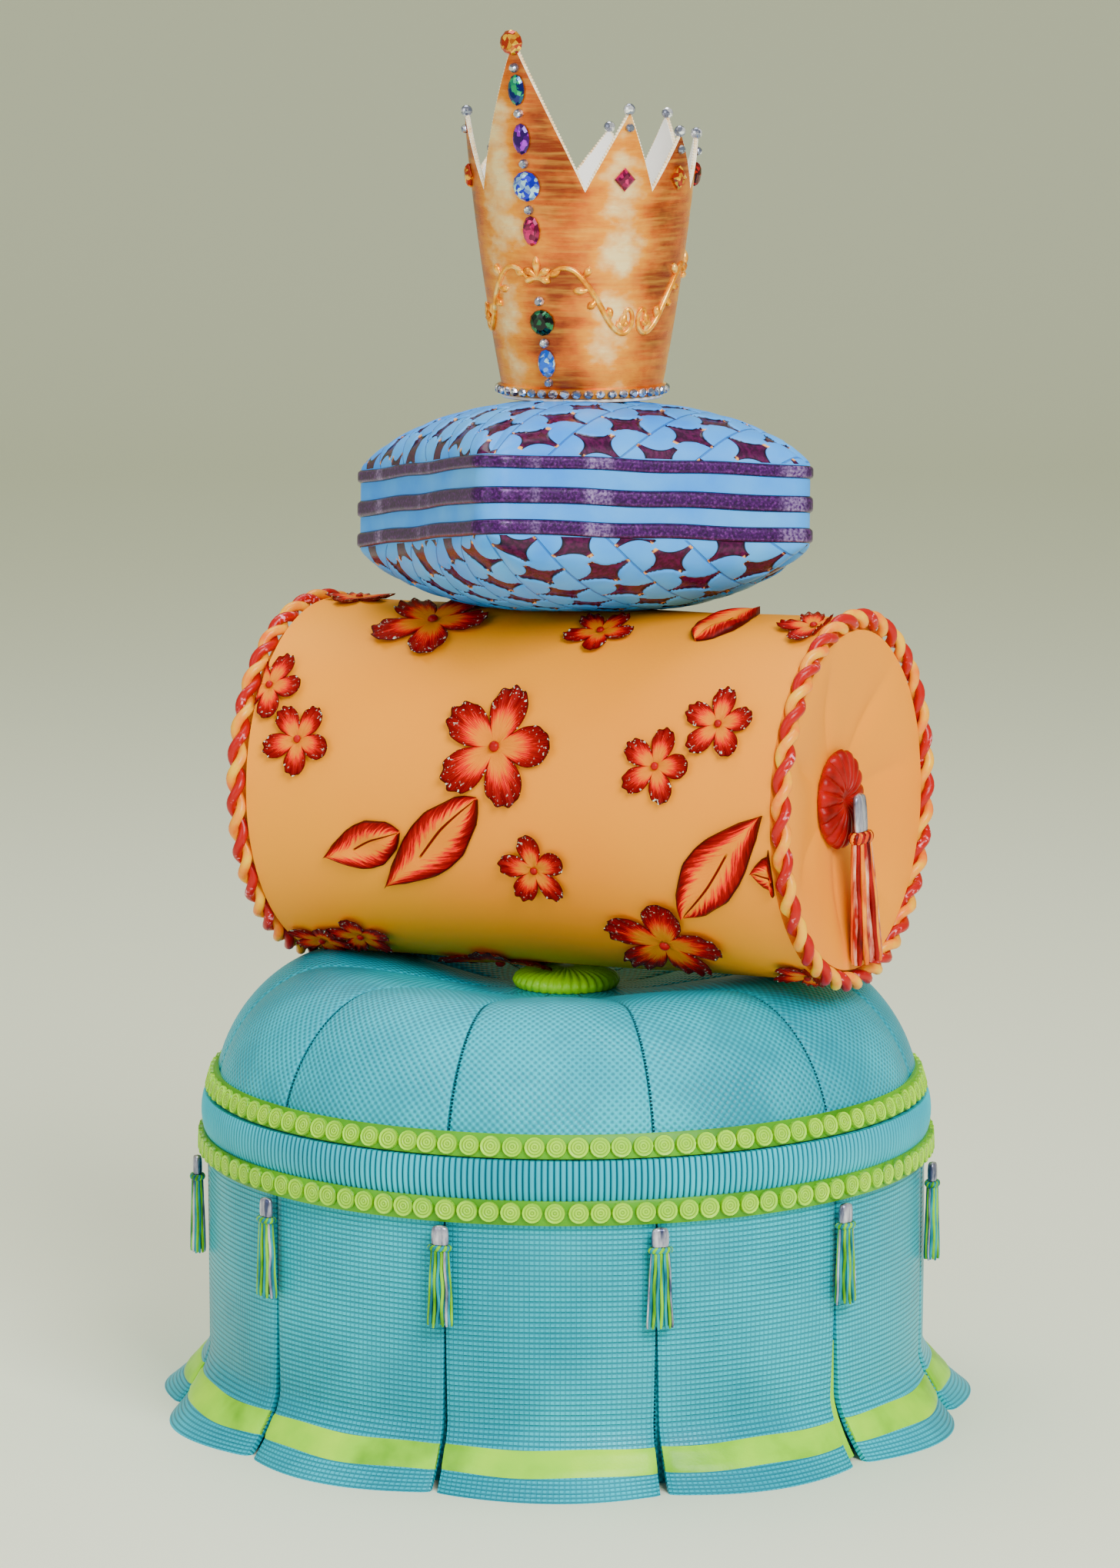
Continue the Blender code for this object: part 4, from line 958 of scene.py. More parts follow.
# %% End buttons and tassels
END_BUTTON_R, END_BUTTON_H = 0.0260, 0.0080
END_LENGTH, END_CAP, END_HEM_R = 0.0880, (0.0070, 0.0200), 0.0145
END_FLAT, END_STRAND_R, END_STRANDS = 0.40, 0.00175, 15
end_looks = [SILVER, RED_STRAND, ORANGE_STRAND, WHITE_STRAND]
for side, end in ((-1, "left"), (1, "right")):
    grid, plan = gathered_button(END_BUTTON_R, END_BUTTON_H, 17, 0.25, 0.0018, 0.5, columns=204)
    grid = along_x(grid * [1, 1, side]) + [side * (BOLSTER_HALF - END_DISH + 0.0003), 0, 0]
    dress(f"end_button_{end}", [(in_bolster(grid), plan)], [RED_PASTE], "red_paste")
    size = (END_LENGTH, END_CAP, END_HEM_R, END_FLAT, END_STRAND_R, END_STRANDS)
    sheets = tassel(*size, cord_looks=(1, 2), strand_looks=(1, 2, 3))
    face = Matrix.Rotation(radians(-side * 2.2), 3, "Y") @ Matrix.Diagonal((side, 1, 1))
    hang = np.array([side * (BOLSTER_HALF + 0.0020), 0, 0.0040])
    sheets = [(in_bolster(grid), plan, look) for grid, plan, look in carried(sheets, face, hang)]
    dress(f"end_tassel_{end}", sheets, end_looks, "tassel_paste")

# %% [markdown]
# ## Flowers and leaves
# Cut paste flowers lie on the bolster. A flower is one surface in polar terms: its reach is a
# function of the angle, five lobes with notches, and its height a dome over each petal with a
# frill that grows towards the edge. A leaf is a surface of its length and width, folded along a
# bent midrib. Both are drawn flat, then wrapped: a distance across becomes an angle about the
# bolster, divided by its radius.

# %% Petal looks
BRUSHED, BRUSHED_EDGE = ((246, 150, 10), (232, 84, 4), (140, 4, 2), (84, 0, 6)), (62, 0, 6)


def petal(name):
    """Yellow orange brushed with red in fine strokes, from the plan's reach and angle."""
    look = Look(name, roughness=0.4, Specular_IOR_Level=0.08)
    reach, around = look.plan()
    stroke = look.noise(look.spot(look.times(reach, 2.0), look.times(around, 34.0)), 1.6, 5.0, 0.6)
    mark = look.plus(look.times(reach, 0.62), look.times(stroke, 0.62))
    shade = look.ramp(mark, tuple(zip((0.56, 0.68, 0.75, 0.96), BRUSHED)))
    speck = look.grade(look.noise(look.place(), 620.0, 3.0), 0.62, 0.66)
    glint = look.times(speck, look.grade(reach, 0.70, 0.98))
    rim = look.grade(reach, 0.955, 0.985)
    shade = look.mix(look.times(rim, 0.9), shade, BRUSHED_EDGE)
    look.colour(look.mix(look.times(glint, 0.85), shade, (226, 238, 220)))
    look.bump(stroke, 0.0004)
    return look.material


def leaf_look():
    """Orange with red brushed in aslant from the edge, and a dark red midrib in a groove."""
    look = Look("brushed_leaf", roughness=0.4, Specular_IOR_Level=0.08)
    along, across = look.plan()
    away = look.size(across)
    slant = look.math("MULTIPLY_ADD", along, 22.0, look.times(away, 6.0))
    cloud = look.noise(look.spot(slant, look.times(across, 1.4)), 1.3, 5.0, 0.6)
    tip = look.times(look.math("POWER", look.minus(along, 0.4), 2.0), 0.7)
    mark = look.plus(look.plus(look.times(away, 0.55), tip), look.times(cloud, 0.75))
    shade = look.ramp(mark, tuple(zip((0.56, 0.68, 0.76, 0.98), BRUSHED)))
    bow = look.times(look.math("SINE", look.times(along, 5.0)), 0.16)
    rib = look.size(look.plus(across, bow))
    rib = look.times(look.grade(rib, 0.025, 0.055, 1, 0), look.grade(along, 0.60, 0.64, 1, 0))
    shade = look.mix(look.grade(away, 0.90, 0.97), shade, BRUSHED_EDGE)
    look.colour(look.mix(rib, shade, (100, 2, 8)))
    look.bump(look.minus(cloud, look.times(rib, 1.5)), 0.0004)
    return look.material


PETAL, LEAF = petal("brushed_petal_paste"), leaf_look()

# %% Laid round the bolster
FLOWER_SHEET, FLOWER_LIFT, ROPE_CLEAR = 0.0020, 0.0005, 0.1484
PETALS, NOTCH_AT, FRILL, PETAL_RISE = 5, 0.38, 0.02, 0.035  # the last three as shares of the size
# how wide a leaf is, as shares of its length and of its width
LEAF_AT = (0, 0.05, 0.12, 0.35, 0.5, 0.62, 0.85, 1.0)
LEAF_WIDE = (0.06, 0.36, 0.62, 1.0, 0.98, 0.86, 0.42, 0.0)


def on_bolster(flat, height, along, degrees, turn):
    """Flat places turned, moved and wrapped round the bolster at a height off its side.

    What would reach past the rope is pressed together there.
    """
    c, s = cos(radians(turn)), sin(radians(turn))
    x = flat[..., 0] * c - flat[..., 1] * s + along
    kept = np.clip(x, -ROPE_CLEAR, ROPE_CLEAR)
    x = kept + 0.03 * (x - kept)
    angle = (flat[..., 0] * s + flat[..., 1] * c) / BOLSTER_R + radians(degrees)
    r = BOLSTER_R + height
    return in_bolster(joined(x, -r * np.cos(angle), r * np.sin(angle)))

# %% [markdown]
# Along a circle the petals are a wave that is worked out from the place between two notches,
# -1 to 1. Outwards the height is a dome, a frill that grows with the cube of the distance, and
# a dip in the middle for the bead.

# %% A flower
def flower_sheets(along, degrees, size, turn):
    """Petals over and under, and a bead in the middle."""
    lay = (along, degrees, turn)
    around = row(0, tau, 201)
    wing = ((around / tau * PETALS + 0.5) % 1.0) * 2 - 1
    lobe = np.clip(1 - np.abs(wing) ** 1.9, 0, 1) ** 0.66
    frill = np.sin(around * rng.integers(24, 30) + rng.uniform(0, tau)) * (1 - wing**2)
    lopsided = np.sin(3 * around + rng.uniform(0, tau))
    outline = size * (mixed(NOTCH_AT, 1.0, lobe) + FRILL * frill + FRILL * lopsided)
    rho = column(0, 1, 15) ** 0.9
    flat = joined(rho * outline * np.cos(around), rho * outline * np.sin(around))
    dome = 0.34 + 0.66 * np.sqrt(1 - wing**2) * smooth(rho * 1.6)
    up = FLOWER_LIFT + FLOWER_SHEET * dome
    up = up + size * PETAL_RISE * rho**3 * (1 + 0.9 * frill) * (1 - wing**4)
    up = up - 0.3 * FLOWER_SHEET * np.exp(-((rho / 0.2) ** 2))
    low = np.maximum(up - 0.0018 - 0.004 * rho, FLOWER_LIFT)
    under = on_bolster(flat[::5], low[::5], *lay)
    plan = joined(rho, around)
    petals = stacked(on_bolster(flat, up, *lay), under[::-1])
    t = np.linspace(0, pi / 2, 6)[::-1, None]
    bead_r = size * 0.062 + 0.0009
    bead_z = bead_r * 0.8 * stacked(np.sin(t), [[-0.3]])
    bead = turned(bead_r * stacked(np.cos(t), [[0]]), bead_z, row(0, tau, 15))
    bead_up = FLOWER_LIFT + 0.6 * FLOWER_SHEET
    bead_grid = on_bolster(bead[..., :2], bead[..., 2] + bead_up, *lay)
    return [(petals, stacked(plan, plan[::5][::-1]), 0), (bead_grid, bead[..., :2] * 10, 1)]

# %% [markdown]
# A leaf's width is read from a short list along its length. Its edge is turned up a little and
# its midrib sunk.

# %% A leaf
def leaf_sheets(along, degrees, size, turn):
    """A pointed leaf with a fold along its midrib."""
    length, width = size
    s, t = column(0, 1, 34), row(-1, 1, 17)
    bend = 0.06 * width * np.sin(pi * s)
    flat = joined(length * s, width / 2 * np.interp(s, LEAF_AT, LEAF_WIDE) * t + bend)
    edge = np.sqrt(1 - np.abs(t) ** 3)
    lip = 0.0016 * np.abs(t) * (1 - np.abs(t) ** 6)
    fold = 0.0009 * np.exp(-((t / 0.12) ** 2)) * (s < 0.66)
    up = FLOWER_LIFT + FLOWER_SHEET * (0.35 + 0.65 * edge) + lip - fold
    up = up + 0.0012 * np.sin(9 * s + 2 * t)
    over = on_bolster(flat, np.maximum(up, FLOWER_LIFT + 0.0006), along, degrees, turn)
    under = on_bolster(flat, np.full(up.shape, FLOWER_LIFT), along, degrees, turn)
    return slab(over, under, joined(s, t))

# %% [markdown]
# The places were read from the picture: how far along the roll, and how far up round it. One big
# flower, one leaf and two small flowers at the back repeat those in front.

# %% Flowers and leaves in place
BIG_FLOWER, SMALL_FLOWER = 0.0325, 0.0195
BIG_LEAF, SMALL_LEAF = (0.0780, 0.0300), (0.0485, 0.0255)
# name, along the bolster, degrees up from its front, size, degrees it is turned
FLOWERS = (
    ("flower_big_front", -0.0060, 19.8, BIG_FLOWER, 75),
    ("flower_big_low", 0.0770, -47.4, BIG_FLOWER, 148),
    ("flower_big_top", -0.0690, 69.5, BIG_FLOWER, 215),
    ("flower_big_back", 0.0350, 170.0, BIG_FLOWER, 40),
    ("flower_left", -0.1206, 19.1, SMALL_FLOWER, 55),
    ("flower_rope_left", -0.1440, 36.8, SMALL_FLOWER, 68),
    ("flower_mid", 0.0856, 16.2, SMALL_FLOWER, 74),
    ("flower_right", 0.1168, 30.5, SMALL_FLOWER, 86),
    ("flower_low", 0.0156, -19.0, SMALL_FLOWER, 95),
    ("flower_pillow", 0.0304, 66.8, SMALL_FLOWER, 208),
    ("flower_rope_right", 0.1440, 76.2, SMALL_FLOWER, 188),
    ("flower_top_left", -0.1310, 91.0, SMALL_FLOWER, 263),
)
LEAVES = (
    ("leaf_big_front", -0.0142, 3.4, BIG_LEAF, -139),
    ("leaf_small_front", -0.0600, -8.6, SMALL_LEAF, -161),
    ("leaf_big_right", 0.0950, -33.0, BIG_LEAF, 49),
    ("leaf_small_right", 0.1385, -15.5, SMALL_LEAF, -4),
    ("leaf_top", 0.0863, 63.7, SMALL_LEAF, 70),
    ("leaf_back", 0.0010, 158.0, BIG_LEAF, -160),
)
# flowers with no solid of their own: low on the front, under the roll and behind
MORE_FLOWERS = (
    (-0.1047, -54.9, SMALL_FLOWER, 20),
    (-0.1320, -60.5, SMALL_FLOWER, 60),
    (0.1456, -65.8, SMALL_FLOWER, 120),
    (-0.0400, -78.0, BIG_FLOWER, 10),
    (-0.0850, 150.0, SMALL_FLOWER, 10),
    (0.1120, 205.0, SMALL_FLOWER, 120),
)
flower_looks = [PETAL, RED_PASTE]
for name, *lay in FLOWERS:
    dress(name, flower_sheets(*lay), flower_looks, "brushed_petal")
for name, *lay in LEAVES:
    dress(name, [leaf_sheets(*lay)], [LEAF], "brushed_petal")
for number, lay in enumerate(MORE_FLOWERS):
    build(f"small_flower_{number + 1}", flower_sheets(*lay), flower_looks, "brushed_petal")

# %% [markdown]
# ## The box pillow
# The third tier is a pale blue box cushion, quilted in slanting rows. Dark purple stars with four
# hollow sides are let into it: each is where |p|^k + |q|^k < 1, for a power k of about a half and
# with a little taken off p and q first, which gives the arms their width. The pattern lies
# along the surface, so the plan is measured on it: the lengths of the grid's own steps, added up
# from the middle. The same numbers give the relief here and the colours in the material.

# %% Pillow looks
PITCH = 0.0239  # between the middles of two stars
STAR_P, STAR_Q = (0.22, 1.93), (2.22, 1.01)  # the star's own two directions, for a and b in pitches
STAR_POWER, STAR_ARM = 0.50, 0.09
RIM_AT, TIP_AT = 0.86, 0.80


def quilted():
    """Pale blue, with stars in dark purple, rimmed darker with painted shade, with bronze tips; the
    quilting lines are darkened with painted shade.
    """
    look = Look("quilted_blue_paste", roughness=0.42, Specular_IOR_Level=0.3)
    a, b = look.plan()
    side_a, side_b = (look.math("WRAP", side, PITCH / 2, -PITCH / 2) for side in (a, b))
    lines = []
    for share_a, share_b in (STAR_P, STAR_Q):
        part = look.times(side_a, share_a / PITCH)
        lines.append(look.size(look.math("MULTIPLY_ADD", side_b, share_b / PITCH, part)))
    p, q = lines
    thin = [look.math("MAXIMUM", look.minus(side, STAR_ARM), 0.0) for side in (p, q)]
    reach = look.plus(*(look.math("POWER", side, STAR_POWER) for side in thin))
    blunt = look.math("MAXIMUM", p, q)
    star = look.times(look.grade(reach, 0.98, 1.04, 1, 0), look.grade(blunt, 0.97, 1.01, 1, 0))
    # painted shade: a dark rim round each sunk star, on its side wall
    rim = look.math("MAXIMUM", look.grade(reach, RIM_AT, RIM_AT + 0.06), look.grade(blunt, 0.88, 0.92))
    # painted shade along the quilting grooves
    line = look.grade(look.minus(PITCH / 2, look.size(side_b)), 0.0002, 0.0006, 1, 0)
    line = look.times(line, look.minus(1.0, star))
    cloud = look.noise(look.place(), 26.0, 4.0)
    blue = look.ramp(cloud, ((0.3, (90, 148, 228)), (0.7, (124, 178, 242))))
    blue = look.mix(look.times(line, 0.6), blue, (44, 82, 150))
    speck = look.noise(look.place(), 420.0, 3.0)
    purple = look.ramp(speck, ((0.40, (48, 0, 44)), (0.66, (78, 14, 66))))
    metal = look.ramp(speck, ((0.4, (120, 54, 20)), (0.6, (226, 176, 130))))
    spots = look.times(look.grade(blunt, TIP_AT, TIP_AT + 0.08), look.grade(speck, 0.44, 0.54))
    purple = look.mix(look.times(rim, 0.85), purple, (20, 2, 30))
    purple = look.mix(spots, purple, metal)
    look.colour(look.mix(star, blue, purple))
    look.rough(look.grade(star, 0.0, 1.0, 0.42, 0.26))
    look.bump(look.times(line, -1.0), 0.0004)
    look.bump(look.noise(look.place(), 700.0, 2.0), 0.00006)
    return look.material


def speckled():
    """Pearly purple with soft upright bands of light and a dark line along each edge."""
    look = Look("pearl_purple_ribbon", roughness=0.3, Metallic=0.35)
    run, across = look.plan()
    speck = look.noise(look.place(), 700.0, 3.0)
    light = look.grade(look.noise(look.spot(look.times(run, 60.0)), 0.6, 2.0), 0.52, 0.78)
    base = look.ramp(speck, ((0.36, (42, 12, 54)), (0.56, (68, 28, 84)), (0.74, (112, 74, 126))))
    bright = look.ramp(speck, ((0.36, (92, 62, 120)), (0.66, (196, 182, 216))))
    body = look.mix(light, base, bright)
    edge = look.grade(look.size(across), 0.80, 0.92)
    look.colour(look.mix(edge, body, (34, 20, 44)))
    look.bump(speck, 0.0001)
    return look.material


QUILT, RIBBON = quilted(), speckled()

# %% Pillow outline
PILLOW_SIDE, PILLOW_CORNER, PILLOW_BAND = 0.1857, 0.0140, 0.0409
PILLOW_RISE, PILLOW_POWER, PILLOW_EDGE = 0.0340, 0.52, 2.8
lean = Matrix.Rotation(radians(0.6), 3, "Y") @ Matrix.Rotation(radians(-9.0), 3, "X")
PILLOW_TURN = np.array(lean @ Matrix.Rotation(radians(22.7), 3, "Z"))
PILLOW_MIDDLE = np.array([TOWER_X, 0.0, 0.4764])
PLATE_R, PLUG_R, PLATE_LID, PLUG_LID, LID_SLACK = 0.0420, 0.0300, 0.5341, 0.5195, 0.0008
CAP_STEPS = 201
STAR_SINK, PUFF_UP = 0.0013, 0.0006
# for the face above and the one below: the turn of the pattern, how it is stretched across, and
# where a star's middle lies
QUILT_LAY = {1: (radians(34.5), 0.9, (-0.0045, -0.0090)), -1: (radians(33.0), 0.8, (-0.0086, 0.0021))}


def rounded_reach(angle):
    """How far the pillow's square with rounded corners reaches in a direction."""
    c, s = np.abs(np.cos(angle)), np.abs(np.sin(angle))
    straight = PILLOW_SIDE / 2 / np.maximum(c, s)
    m = PILLOW_SIDE / 2 - PILLOW_CORNER
    along = m * (c + s)
    arc = along + np.sqrt(np.maximum(along**2 - (2 * m * m - PILLOW_CORNER**2), 0))
    return np.where(np.minimum(c, s) * straight > m, arc, straight)

# %% [markdown]
# The face is a square grid, pulled to the rounded outline. Its crown is a product of two falls
# to zero, one along x and one along y, to a low power, so that it is full close to the edge.

# %% Pillow faces
def pillow_cap(side):
    """The crowned face above (1) or below (-1), with its pattern pressed in."""
    half = PILLOW_SIDE / 2
    step = np.linspace(-1, 1, CAP_STEPS)
    step = np.sign(step) * (1 - (1 - np.abs(step)) ** 1.25)
    x, y = np.meshgrid(step * half, step * half, indexing="ij")
    angle = np.arctan2(y, x)
    pull = rounded_reach(angle) * np.maximum(np.abs(np.cos(angle)), np.abs(np.sin(angle))) / half
    u, v = np.abs(x / half), np.abs(y / half)
    crown = np.clip(1 - u**PILLOW_EDGE, 0, 1) * np.clip(1 - v**PILLOW_EDGE, 0, 1)
    grid = joined(x * pull, y * pull, side * (PILLOW_BAND / 2 + PILLOW_RISE * crown**PILLOW_POWER))
    steps_x = np.linalg.norm(np.diff(grid, axis=0), axis=-1)
    steps_y = np.linalg.norm(np.diff(grid, axis=1), axis=-1)
    run_x = stacked(0 * steps_x[:1], np.cumsum(steps_x, 0))
    run_y = np.concatenate([0 * steps_y[:, :1], np.cumsum(steps_y, 1)], 1)
    middle = CAP_STEPS // 2
    turn, stretch, (star_a, star_b) = QUILT_LAY[side]
    across, along = run_x - run_x[middle : middle + 1], stretch * (run_y - run_y[:, middle : middle + 1])
    a = across * cos(turn) + along * sin(turn) - star_a
    b = along * cos(turn) - across * sin(turn) - star_b
    side_a, side_b = ((w / PITCH + 0.5) % 1.0 - 0.5 for w in (a, b))
    p, q = (np.abs(share_a * side_a + share_b * side_b) for share_a, share_b in (STAR_P, STAR_Q))
    thin_p, thin_q = (np.maximum(side - STAR_ARM, 0) for side in (p, q))
    star = smooth((1.08 - thin_p**STAR_POWER - thin_q**STAR_POWER) / 0.14)
    star = star * smooth((1.03 - np.maximum(p, q)) / 0.06)
    height = PUFF_UP * (1 - (2 * np.abs(side_b)) ** 3) - STAR_SINK * star
    height = height * smooth((crown - 0.02) / 0.12)
    face = normals(grid)
    face = face * np.sign(face[middle, middle, 2] * side)
    return grid + face * height[..., None], joined(a, b)

# %% [markdown]
# The upright side joins the edges of both faces. Then the whole pillow is leaned, and what would
# reach into the roll below or the disc above gives way.

# %% Pillow side
def pillow_band(top, bottom):
    """The upright side between the edges of the two caps."""
    def edge(grid):
        return stacked(grid[:-1, 0], grid[-1, :-1], grid[:0:-1, -1], grid[0, ::-1])

    high, low = edge(top), edge(bottom)
    share = np.linspace(0, 1, 11)[:, None, None]
    run = travelled(high)
    plan = joined(PITCH / 2 + 0 * run[None, :], PITCH / 4 + 0 * share[..., 0])
    return mixed(high, low, share), plan


def in_pillow(points):
    """From the pillow's own frame into the cake's."""
    return points @ PILLOW_TURN.T + PILLOW_MIDDLE


def rested(grid):
    """The pillow gives way to the bolster below it and to the crown's foot above it."""
    grid = pressed(in_pillow(grid), BOLSTER_R, BOLSTER_HALF, gap=0.0010)
    away = np.hypot(grid[..., 0] - TOWER_X, grid[..., 1]) - LID_SLACK
    lid = np.where(away < PLUG_R, PLUG_LID, np.where(away < PLATE_R, PLATE_LID, 1.0))
    grid[..., 2] = np.minimum(grid[..., 2], lid)
    return grid


(top, top_plan), (bottom, bottom_plan) = pillow_cap(1), pillow_cap(-1)
band, band_plan = pillow_band(top, bottom)
sheets = [(rested(top), top_plan, 0), (rested(bottom), bottom_plan, 0), (rested(band), band_plan, 0)]
dress("pillow", sheets, [QUILT], "blue_paste", centre=PILLOW_MIDDLE)

# %% [markdown]
# Three ribbons of pearly purple run round the pillow's upright side. Each follows the rounded
# square at a small distance, with a slow wave, as hand laid ribbons have.

# %% Pillow ribbons
def square_ring(offset, turn):
    """A place round the rounded square, pushed out by an offset along its own normal."""
    reach = rounded_reach(turn)
    place = joined(reach * np.cos(turn), reach * np.sin(turn))
    m = PILLOW_SIDE / 2 - PILLOW_CORNER
    nearest = np.clip(place, -m, m)
    return nearest + unit(place - nearest) * (PILLOW_CORNER + offset)


RIBBON_LIFT, RIBBON_THICK, RIBBON_SUNK, RIBBON_WAVE = 0.0003, 0.0014, -0.0004, 0.00035


def pillow_ribbon(low, high, phase):
    """A strip with soft edges, closed behind."""
    turn = np.linspace(0, tau, 601)
    across = column(-1, 1, 9)
    z = mixed(low, high, (across + 1) / 2) + RIBBON_WAVE * np.sin(9 * turn + phase)
    lift = RIBBON_LIFT + RIBBON_THICK * (1 - across**6)
    ring = square_ring(lift[..., None], turn)
    outer = np.concatenate([ring, z[..., None]], -1)
    flat = np.broadcast_to(square_ring(RIBBON_SUNK, turn), ring.shape)
    inner = np.concatenate([flat, z[..., None]], -1)[::8]
    plan = joined(travelled(ring[4]), across)
    grid = stacked(outer, inner[::-1], outer[:1])
    return in_pillow(grid), stacked(plan, plan[::8][::-1], plan[:1])


STRIPES = (("top", 0.0135, 0.0202), ("mid", -0.0043, 0.0043), ("low", -0.0202, -0.0124))
for phase, (name, low, high) in enumerate(STRIPES):
    node = f"pillow_stripe_{name}"
    dress(node, [pillow_ribbon(low, high, phase)], [RIBBON], "pearl_purple")

# %% [markdown]
# ## The crown
# A tall crown of gilded paste stands on a thin white disc. Its wall is a surface of the angle and
# a share of the height: radius is a slow curve of the height, and the top edge follows straight
# lines from valley to point and down again, one tall tip and eight low ones.

# %% Crown looks
# painted reflections: how many bright bands run round the crown, and where the first bright one stands
GOLD_REFLECTION_BANDS, BRIGHT_AT = 5, radians(-70.0)


def gilded():
    """Brushed gold leaf: level streaks over upright bands of painted reflection, dark, bright and dark
    again.
    """
    look = Look("gilded_paste", roughness=0.34, Metallic=0.45)
    around, _ = look.plan()
    streak = look.noise(look.place(scale=(34, 34, 420)), 1.0, 4.0, 0.55)
    patch = look.noise(look.place(scale=(30, 30, 44)), 1.0, 4.0, 0.6)
    # painted reflection: dark and bright upright bands by the angle round the crown
    wave = look.math("COSINE", look.math("MULTIPLY_ADD", around, GOLD_REFLECTION_BANDS, -GOLD_REFLECTION_BANDS * BRIGHT_AT))
    band = look.math("MULTIPLY_ADD", wave, 0.17, patch)
    golds = ((120, 60, 14), (190, 108, 38), (222, 150, 76), (252, 222, 180))
    base = look.ramp(band, tuple(zip((0.26, 0.44, 0.60, 0.78), golds)))
    look.colour(look.mix(look.grade(streak, 0.40, 0.76, 0.0, 0.36), base, (246, 190, 124)))
    look.rough(look.grade(streak, 0.3, 0.7, 0.24, 0.42))
    look.bump(streak, 0.00012)
    return look.material


GOLD = gilded()
GOLD_RELIEF = plain_paste(
    "gold_relief", (230, 166, 96), (252, 216, 160), (176, 96, 40), 0.28, 160.0, Metallic=0.5
)
PALE_BEADS = plain_paste("pale_beads", (250, 232, 206), (255, 246, 232), (226, 190, 150), 0.3, 200.0)
WHITE = plain_paste("white_smooth", (248, 246, 242), (255, 254, 252), (236, 230, 224), 0.45, 20.0)

# %% Crown profile
CROWN_FOOT, CROWN_RIM, CROWN_RIM_H, CROWN_WALL = 0.5368, 0.0016, 0.0046, 0.0024
VALLEY_Z, FRONT = 0.6432, -pi / 2
TALL_TIP = tuple(radians(d) for d in (-62.0, -34.0, 1.2))  # where it starts, its point, its end
TALL_TIP_Z = 0.7190
# height of each low point, and the degrees it leans
LOW_TIPS = (
    (0.6835, 3.3), (0.6715, 0.0), (0.6690, 0.0), (0.6780, 0.9),
    (0.6700, -2.3), (0.6740, 0.0), (0.6600, -9.0), (0.6810, -1.5),
)
LOW_TIP_ANGLE = (tau - TALL_TIP[2] + TALL_TIP[0]) / len(LOW_TIPS)


def crown_reach(z):
    """Outer radius at a height: wide fast at the foot, slowly above."""
    t = z - CROWN_FOOT
    return 0.0413 + 0.1905 * t - 0.363 * t * t

# %% [markdown]
# The top edge is a list of angles and heights: straight up to a point and down again, once for
# the tall tip and eight times for the low ones. The wall's columns follow it.

# %% Crown edge and wall
def crown_edge():
    """Angle and height of the top edge all the way round."""
    share = np.arange(48) / 48
    angle = [np.interp(share, (0, 0.5, 1), TALL_TIP)]
    height = [(1 - np.abs(2 * share - 1)) * (TALL_TIP_Z - VALLEY_Z)]
    share = np.arange(24) / 24
    up = 1 - np.abs(2 * share - 1)
    for number, (top_z, lean) in enumerate(LOW_TIPS):
        angle.append(TALL_TIP[2] + (number + share) * LOW_TIP_ANGLE + radians(lean) * up)
        height.append(up * (top_z - VALLEY_Z))
    angle = stacked(*angle, [TALL_TIP[0] + tau])
    return angle + FRONT, VALLEY_Z + stacked(*height, [0.0])


def on_crown(angle, z, lift=0.0):
    """A place on the crown's outer face, or off it by a lift."""
    r = crown_reach(z) + lift
    return joined(TOWER_X + r * np.cos(angle), r * np.sin(angle), z)


edge_angle, edge_z = crown_edge()
share = column(0, 1, 60)
z = mixed(CROWN_FOOT + CROWN_RIM_H + 0.0006, edge_z, share)
wall_out, wall_in = on_crown(edge_angle, z), on_crown(edge_angle, z, -CROWN_WALL)
rim_z = np.array([CROWN_FOOT, CROWN_FOOT, CROWN_FOOT + CROWN_RIM_H])[:, None]
rim_lift = np.array([-CROWN_WALL, CROWN_RIM, CROWN_RIM])[:, None]
rim = on_crown(edge_angle, rim_z, rim_lift)
crown_grid = stacked(rim, wall_out, wall_in[::-1], rim[:1])
crown_looks = np.where(np.arange(len(crown_grid) - 1) < 2 + len(share), 0, 1)
crown_plan = joined(edge_angle, crown_grid[..., 2])

# %% [markdown]
# Along the edge of the tips runs a row of pale beads: a bar carried along that same edge, whose
# radius is a wave, |sin| of the length travelled, so that it pinches in between the beads.

# %% Beaded edge
BEAD, BEAD_R = 0.0017, 0.0006
edge_path = on_crown(edge_angle, edge_z, -CROWN_WALL / 2)
run = travelled(edge_path)
beads = round(run[-1] / BEAD)
even = np.linspace(0, run[-1], 6 * beads + 1)
edge_path = joined(*(np.interp(even, run, line) for line in edge_path.T))
bead_r = BEAD_R + BEAD_R * np.abs(np.sin(pi * even[:-1] / (run[-1] / beads)))
bead_grid, bead_plan = closed_tube(edge_path, bead_r, sides=6)
sheets = [(crown_grid, crown_plan, crown_looks), (bead_grid, bead_plan, 2)]
dress("crown", sheets, [GOLD, WHITE, PALE_BEADS], "gold_leaf")

# %% [markdown]
# ## Scrolls
# Gold scrolls run round the crown from three small sprays of leaves, one of them on the row of
# stones. An arm is worked out from its heading: a curve of the length travelled that first
# leans over, then falls and at last turns back on itself; the places are the running sums of the
# heading's cosine and sine. A mirrored arm leaves each spray on the other side.

# %% Scrolls
SPRAYS, SPRAY_AT, SPRAY_Z = 3, radians(-26.7), 0.5990
# angle and height of the box that an arm fills, and its heading along its length
ARM_BOX = np.array([(radians(4.5), 0.5705), (radians(58.0), 0.6045)])
HEADING_AT = (0.0, 0.10, 0.28, 0.52, 0.66, 0.80, 0.90, 1.0)
HEADING = np.radians((50.0, 20.0, -38.0, -50.0, -22.0, 75.0, 170.0, 290.0))
ACROSS = 1 / 0.050  # an angle for a length, at the scrolls' height


